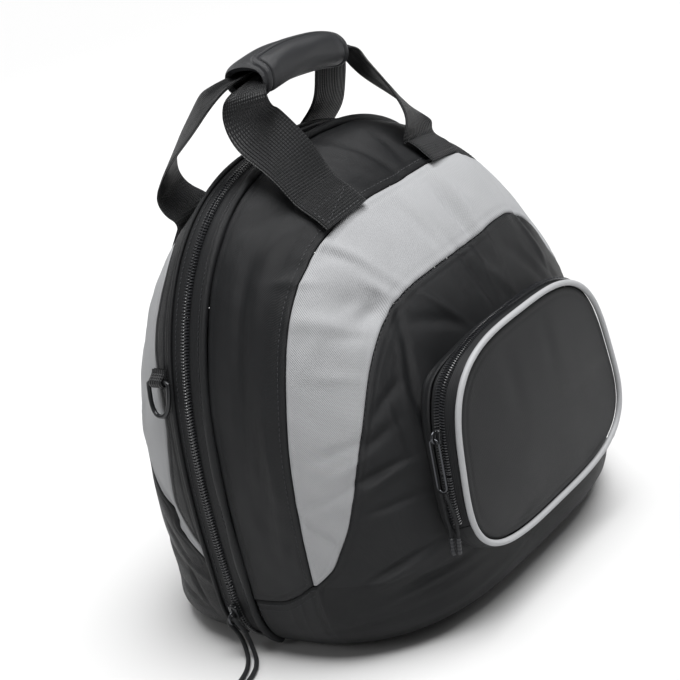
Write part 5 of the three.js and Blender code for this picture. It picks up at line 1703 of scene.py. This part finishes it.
        def calm(values: np.ndarray) -> np.ndarray:
            """Smooth the free stretch of a row of values."""
            flat = np.stack([np.convolve(np.pad(column, self.smoothing // 2, mode="edge"), kernel,
                                         "valid") for column in values.T], axis=1)
            return values + (flat - values) * loose

        path, across, width = calm(path), calm(across), calm(width[:, None])[:, 0]
        run = unit(np.gradient(path, axis=0))
        across = unit(across - run * (across * run).sum(1, keepdims=True))
        # Both edges are smoothed as well, because a tight turn would put an ear on the inner one
        left, right = (calm(calm(path + across * (side * width / 2)[:, None])) for side in (-1, 1))
        path, width = (left + right) / 2, np.linalg.norm(right - left, axis=1)
        across = unit(right - left)
        over = unit(np.cross(unit(np.gradient(path, axis=0)), across))
        # Where the webbing is narrower than it was woven, it folds up like a trough
        narrow = np.clip(1 - width / self.width, 0, 1)
        share = np.linspace(-1, 1, 27)
        trough = 5.0 * narrow[:, None] * (share[None] ** 2 - 0.4)
        pleat = 0.5 * narrow[:, None] * np.cos(3 * math.pi * share[None])
        faces = []
        for side in (1, -1):
            edge = np.sqrt(np.clip(1 - np.abs(share) ** 14, 0, 1))
            rise = side * self.thickness / 2 * edge[None] + trough + pleat
            faces.append(path[:, None] + across[:, None] * (share[None] * width[:, None] / 2)[..., None]
                         + over[:, None] * rise[..., None])
        points = np.concatenate([faces[0], faces[1][:, ::-1]], axis=1)
        along = walked(path[:, None], 0)
        half_web = share * self.width / 2
        places_across = np.concatenate([half_web, half_web[::-1]])[None]
        maker = MeshMaker()
        maker.grid(points, stacked(along, places_across), wrap=True)
        maker.caps(points)
        name = half.name + "_handle_webbing"
        maker.build(name + "_woven", BLACK_WEBBING, replaces=[name])
        self._box_stitch(name, faces, along[:, 0], share)

    def _box_stitch(self, name: str, faces: list[np.ndarray], along: np.ndarray,
                    share: np.ndarray) -> None:
        """Sew both ends down with a box of stitches.

        Args:
            name: the webbing's node.
            faces: its two faces.
            along: the length walked to each column.
            share: its rows, from -1 to 1.
        """
        maker = MeshMaker()
        outer = faces[0] if faces[0][0, 13, 2] > faces[1][0, 13, 2] else faces[1]
        other = faces[1] if outer is faces[0] else faces[0]
        up = unit(outer - other)
        for at_end in (False, True):
            way = along[-1] - along[::-1] if at_end else along
            grid, lean = (outer[::-1], up[::-1]) if at_end else (outer, up)
            corners = [(3.0, -0.86), (3.0, 0.86), (17.0, 0.86), (17.0, -0.86), (3.0, -0.86),
                       (17.0, 0.86)]
            for (a0, s0), (a1, s1) in zip(corners, corners[1:]):
                t = np.linspace(0, 1, 24)
                column = np.interp(a0 + (a1 - a0) * t, way, np.arange(len(way)))
                row = np.interp(s0 + (s1 - s0) * t, share, np.arange(len(share)))
                line = grid[column.round().astype(int), row.round().astype(int)]
                top = lean[column.round().astype(int), row.round().astype(int)]
                maker.stitches(line, top)
        maker.build(name + "_box_stitches", BLACK_THREAD)

    def _wrap_point(self, x: np.ndarray, turn: np.ndarray, grow: np.ndarray) -> np.ndarray:
        """Find points of the wrap's outer side.

        Args:
            x: places along it.
            turn: where round it: 0 at the back, a quarter turn on top.
            grow: how far outside its plain form.

        Returns:
            The points.
        """
        place = np.abs((x - self.wrap_middle) / (self.wrap_length / 2))
        grow = grow - 2.6 * np.clip(place, 0, 1) ** 14
        power = 2 / 2.6
        y = self.wrap_offset + (self.wrap_width / 2 + grow) * signed_power(np.cos(turn), power)
        z = self.level(x) + (self.wrap_depth / 2 + grow) * signed_power(np.sin(turn), power)
        return stacked(x, y, z)

    def _wrap_relief(self, x: np.ndarray, turn: np.ndarray) -> np.ndarray:
        """Say how far the flap, its binding and its seam stand out.

        Args:
            x: places along the wrap.
            turn: where round it.

        Returns:
            The heights.
        """
        side = np.abs(x - self.wrap_middle) - (self.flap_half_length - self.flap_corner)
        up = np.abs(np.remainder(turn - self.flap_middle + math.pi, TURN) - math.pi) * self.girth \
            - (self.flap_half_height - self.flap_corner)
        outside = np.hypot(np.maximum(side, 0), np.maximum(up, 0)) \
            + np.minimum(np.maximum(side, up), 0) - self.flap_corner
        inside = -outside
        puff = 0.8 * smooth_step((inside - self.binding) / 9)
        soft = 0.35 * np.sin(x / 11 + 1.7 * np.sin(turn * 2)) * np.sin(turn * 3 + x / 19)
        return (1.1 * smooth_step(inside / 0.8 + 0.5) + 0.45 * np.exp(-((inside - 2.3) / 1.7) ** 2)
                - 1.3 * np.exp(-((inside - self.binding) / 0.75) ** 2) + puff + soft)

    def _wrap(self) -> None:
        """Build the padded wrap: a flap with a bound edge, closed round the handles."""
        turn = np.linspace(0, TURN, 161)[:-1]
        place = np.linspace(-1, 1, 161)
        place = 0.6 * place + 0.4 * np.sin(place * math.pi / 2)
        x = self.wrap_middle + place * self.wrap_length / 2
        grow = self._wrap_relief(x[:, None], turn[None])
        outer = self._wrap_point(x[:, None], turn[None], grow)
        places = stacked(x[:, None], (turn * self.girth)[None])
        maker = MeshMaker()
        maker.grid(outer, places, wrap=True)
        # The wrap's cloth carries painted light: its colour is lighter than the black cloth's
        wrap = maker.build("handle_wrap_padding", WRAP_CLOTH_LIT_COPY, replaces=["handle_wrap"],
                           thickness=4.2, outward=(self.wrap_middle, self.wrap_offset,
                                                   self.wrap_height))
        # The seam runs round the flap at the binding's inner edge
        radius = self.flap_corner - self.binding
        long, high = self.flap_half_length - self.flap_corner, self.flap_half_height - self.flap_corner
        seam = [(x_end + radius * math.cos(a), s_end + radius * math.sin(a))
                for quarter, (x_end, s_end) in enumerate(((long, high), (-long, high), (-long, -high),
                                                          (long, -high)))
                for a in np.linspace(quarter * math.pi / 2, (quarter + 1) * math.pi / 2, 9)]
        corners = np.array(seam + seam[:1])
        way = walked(corners, 0)
        even = np.linspace(0, way[-1], 400)
        line_x = self.wrap_middle + np.interp(even, way, corners[:, 0])
        line_turn = self.flap_middle + np.interp(even, way, corners[:, 1]) / self.girth
        relief = self._wrap_relief(line_x, line_turn)
        low = self._wrap_point(line_x, line_turn, relief)
        maker = MeshMaker()
        maker.stitches(low, self._wrap_point(line_x, line_turn, relief + 1) - low, 2.6, 0.9)
        maker.build("handle_wrap_stitches", BLACK_THREAD)

    def build(self) -> None:
        """Build both handles and the wrap."""
        for half in (FRONT, BACK):
            self._webbing(half)
        self._wrap()


@dataclass
class SideRing:
    """The D-ring and the folded webbing tab that holds it."""

    height: float = 213
    offset: float = 24
    width: float = 23
    drop: float = 28
    wire: float = 1.7
    clearance: float = 0.45
    lift: float = 1.4
    tab_width: float = 13
    tab_layer: float = 2
    tab_length: float = 9

    def build(self) -> None:
        """Build the ring on its own body and the tab on the bag."""
        angle = FORM.side_angle(self.height)
        share = self.offset / BACK.depth
        smooth = replace(BACK, creases=[])
        seat, lower = (FORM.surface(smooth, np.array(a), np.array(share))
                       for a in (angle, angle + 0.06))
        down = unit(np.array([lower[0] - seat[0], 0, lower[2] - seat[2]]))
        outward = np.array([down[2], 0, -down[0]])
        radius = self.wire + self.clearance + self.tab_layer
        box_low, box_high = (np.array(v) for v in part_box("d_ring_tab"))
        middle = (box_low[1] + box_high[1]) / 2 / MM - FRAME_SHIFT
        bar = seat + outward * (radius + self.lift)
        bar[1] = middle
        basis = np.stack([down, np.array([0, -1.0, 0]), outward])
        half_bar = self.width / 2 - self.wire
        bow = self.drop - 2 * self.wire
        turn = np.linspace(0, math.pi, 49)
        x = 1.25 + (bow - 1.25) * np.abs(np.sin(turn)) ** 0.75
        y = half_bar * signed_power(np.cos(turn), 0.8)
        route = np.stack([x, y, np.zeros(49)], 1)
        bar_line = np.stack([np.zeros(17), np.linspace(-half_bar + 2.5, half_bar - 2.5, 17),
                             np.zeros(17)], 1)
        maker = MeshMaker()
        maker.tube(np.concatenate([bar_line, route]) @ basis + bar, self.wire, 14, closed=True)
        maker.build("d_ring_wire", DARK_METAL, body=RING_BODY, replaces=["d_ring"])
        inner = self.wire + self.clearance
        bend = np.linspace(-math.pi / 2, math.pi * 0.62, 21)
        loop = [(-self.tab_length, -inner - 1)]
        loop += [((inner + 1) * math.cos(a), (inner + 1) * math.sin(a)) for a in bend]
        loop += [(-inner - 4.2, -inner + 1.4), (-self.tab_length, -inner + 0.9)]
        line = even_path(np.array([(a, 0, b) for a, b in loop]), 0.6)
        side = np.array([0, 1.0, 0])
        run = unit(np.gradient(line, axis=0))
        up = np.cross(run, side)
        share = np.linspace(-1, 1, 15)
        faces = [line[:, None] + side * (share * self.tab_width / 2)[None, :, None]
                 + up[:, None] * level * (1 - np.abs(share) ** 12)[None, :, None]
                 for level in (0.95, -0.95)]
        points = np.concatenate([faces[0], faces[1][:, ::-1]], axis=1)
        across = np.concatenate([share, share[::-1]]) * self.tab_width / 2
        places = stacked(walked(line[:, None], 0), across[None])
        maker = MeshMaker()
        maker.grid(points @ basis + bar, places, wrap=True)
        maker.build("d_ring_tab_woven", BLACK_WEBBING, replaces=["d_ring_tab"])


@dataclass
class BasePanel:
    """The flat cloth panel under the bag, cut to the CAD model's outline."""

    node: str = "base_panel"

    def build(self) -> None:
        """Copy the panel's form and lay the weave on it."""
        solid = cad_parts[self.node]
        mesh = bmesh.new()
        mesh.from_mesh(solid.data)
        mesh.transform(solid.matrix_world)
        layer = mesh.loops.layers.uv.get("cloth") or mesh.loops.layers.uv.new("cloth")
        for face in mesh.faces:
            for loop in face.loops:
                loop[layer].uv = loop.vert.co.xy
        data = bpy.data.meshes.new(self.node + "_cloth")
        mesh.to_mesh(data)
        mesh.free()
        data.materials.clear()
        data.materials.append(BLACK_CLOTH.material())
        piece = placed(self.node + "_cloth", data)
        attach(piece, BODY)
        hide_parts(self.node)


@dataclass
class Studio:
    """Camera, pale floor and soft lights."""

    position: tuple[float, float, float] = (-0.8006, -0.7274, 0.5742)
    right: tuple[float, float, float] = (0.600, -0.764, -0.237)
    back: tuple[float, float, float] = (-0.684, -0.643, 0.345)
    lens: float = 79.98
    sensor: float = 36.0
    # A whole ceiling of diffused light: its direction, strength and spread in degrees
    ceiling: tuple[float, float, float] = (0.10, -0.22, 1.0)
    ceiling_strength: float = 4.8
    ceiling_spread: float = 46.0
    room: float = 0.12
    # The board under the bag, in metres, a hair below it
    floor_reach: float = 150.0
    floor_drop: float = 0.0003
    board: str = "d0d0d0"
    # Name, place, size and power of each softbox; all look at the bag's middle
    LIGHTS = (
        ("left_softbox", (-1.7, 0.6, 1.3), 0.7, 3.0),
        ("right_softbox", (1.1, -1.9, 1.5), 0.8, 3.0),
        ("rear_softbox", (0.4, 2.0, 1.6), 1.4, 10.0),
    )

    def camera(self) -> None:
        """Place the camera at the photograph's angle."""
        back = Vector(self.back).normalized()
        right = Vector(self.right)
        right = (right - back * right.dot(back)).normalized()
        up = back.cross(right)
        data = bpy.data.cameras.new("camera")
        data.lens = self.lens
        data.sensor_width = self.sensor
        data.sensor_fit = "HORIZONTAL"
        data.clip_end = 20
        camera = placed("camera", data)
        rows = [[right[k], up[k], back[k], self.position[k]] for k in range(3)]
        camera.matrix_world = Matrix([*rows, [0, 0, 0, 1]])
        bpy.context.scene.camera = camera

    def lights(self) -> None:
        """Hang the ceiling and the softboxes and whiten the room."""
        data = bpy.data.lights.new("ceiling", "SUN")
        data.energy = self.ceiling_strength
        data.angle = math.radians(self.ceiling_spread)
        light = placed("ceiling", data)
        light.rotation_euler = Vector(self.ceiling).to_track_quat("Z", "Y").to_euler()
        for name, place, size, power in self.LIGHTS:
            data = bpy.data.lights.new(name, "AREA")
            data.size = size
            data.energy = power
            light = placed(name, data)
            light.location = place
            aim = Vector((0, 0, 0.17)) - Vector(place)
            light.rotation_euler = aim.to_track_quat("-Z", "Y").to_euler()
        world = bpy.data.worlds.new("white_room")
        world.use_nodes = True
        world.node_tree.nodes["Background"].inputs[0].default_value = (1, 1, 1, 1)
        world.node_tree.nodes["Background"].inputs[1].default_value = self.room
        bpy.context.scene.world = world
        bpy.context.scene.view_settings.view_transform = "Standard"

    def floor(self) -> None:
        """Lay a plain pale floor."""
        mesh = bpy.data.meshes.new("studio_floor")
        reach = self.floor_reach
        mesh.from_pydata([(-reach, -reach, 0), (reach, -reach, 0), (reach, reach, 0),
                          (-reach, reach, 0)], [], [(0, 1, 2, 3)])
        floor = placed("studio_floor", mesh)
        floor.location.z = -self.floor_drop
        material = bpy.data.materials.new("white_painted_board")
        material.use_nodes = True
        shader = material.node_tree.nodes["Principled BSDF"]
        shader.inputs["Base Color"].default_value = linear_rgb(self.board)
        shader.inputs["Roughness"].default_value = 0.9
        mesh.materials.append(material)


def main() -> None:
    """Build the scene piece by piece."""
    logging.basicConfig(level=logging.INFO, format="%(name)s: %(message)s")
    studio = Studio()
    studio.camera()
    PullCords().build()
    zip_line = MainZip()
    for half in (FRONT, BACK):
        Shell(half, zip_line.welt_edge(half)).build()
    zip_line.build()
    Pocket().build()
    Handles().build()
    SideRing().build()
    BasePanel().build()
    studio.lights()
    studio.floor()


if __name__ == "__main__":
    main()
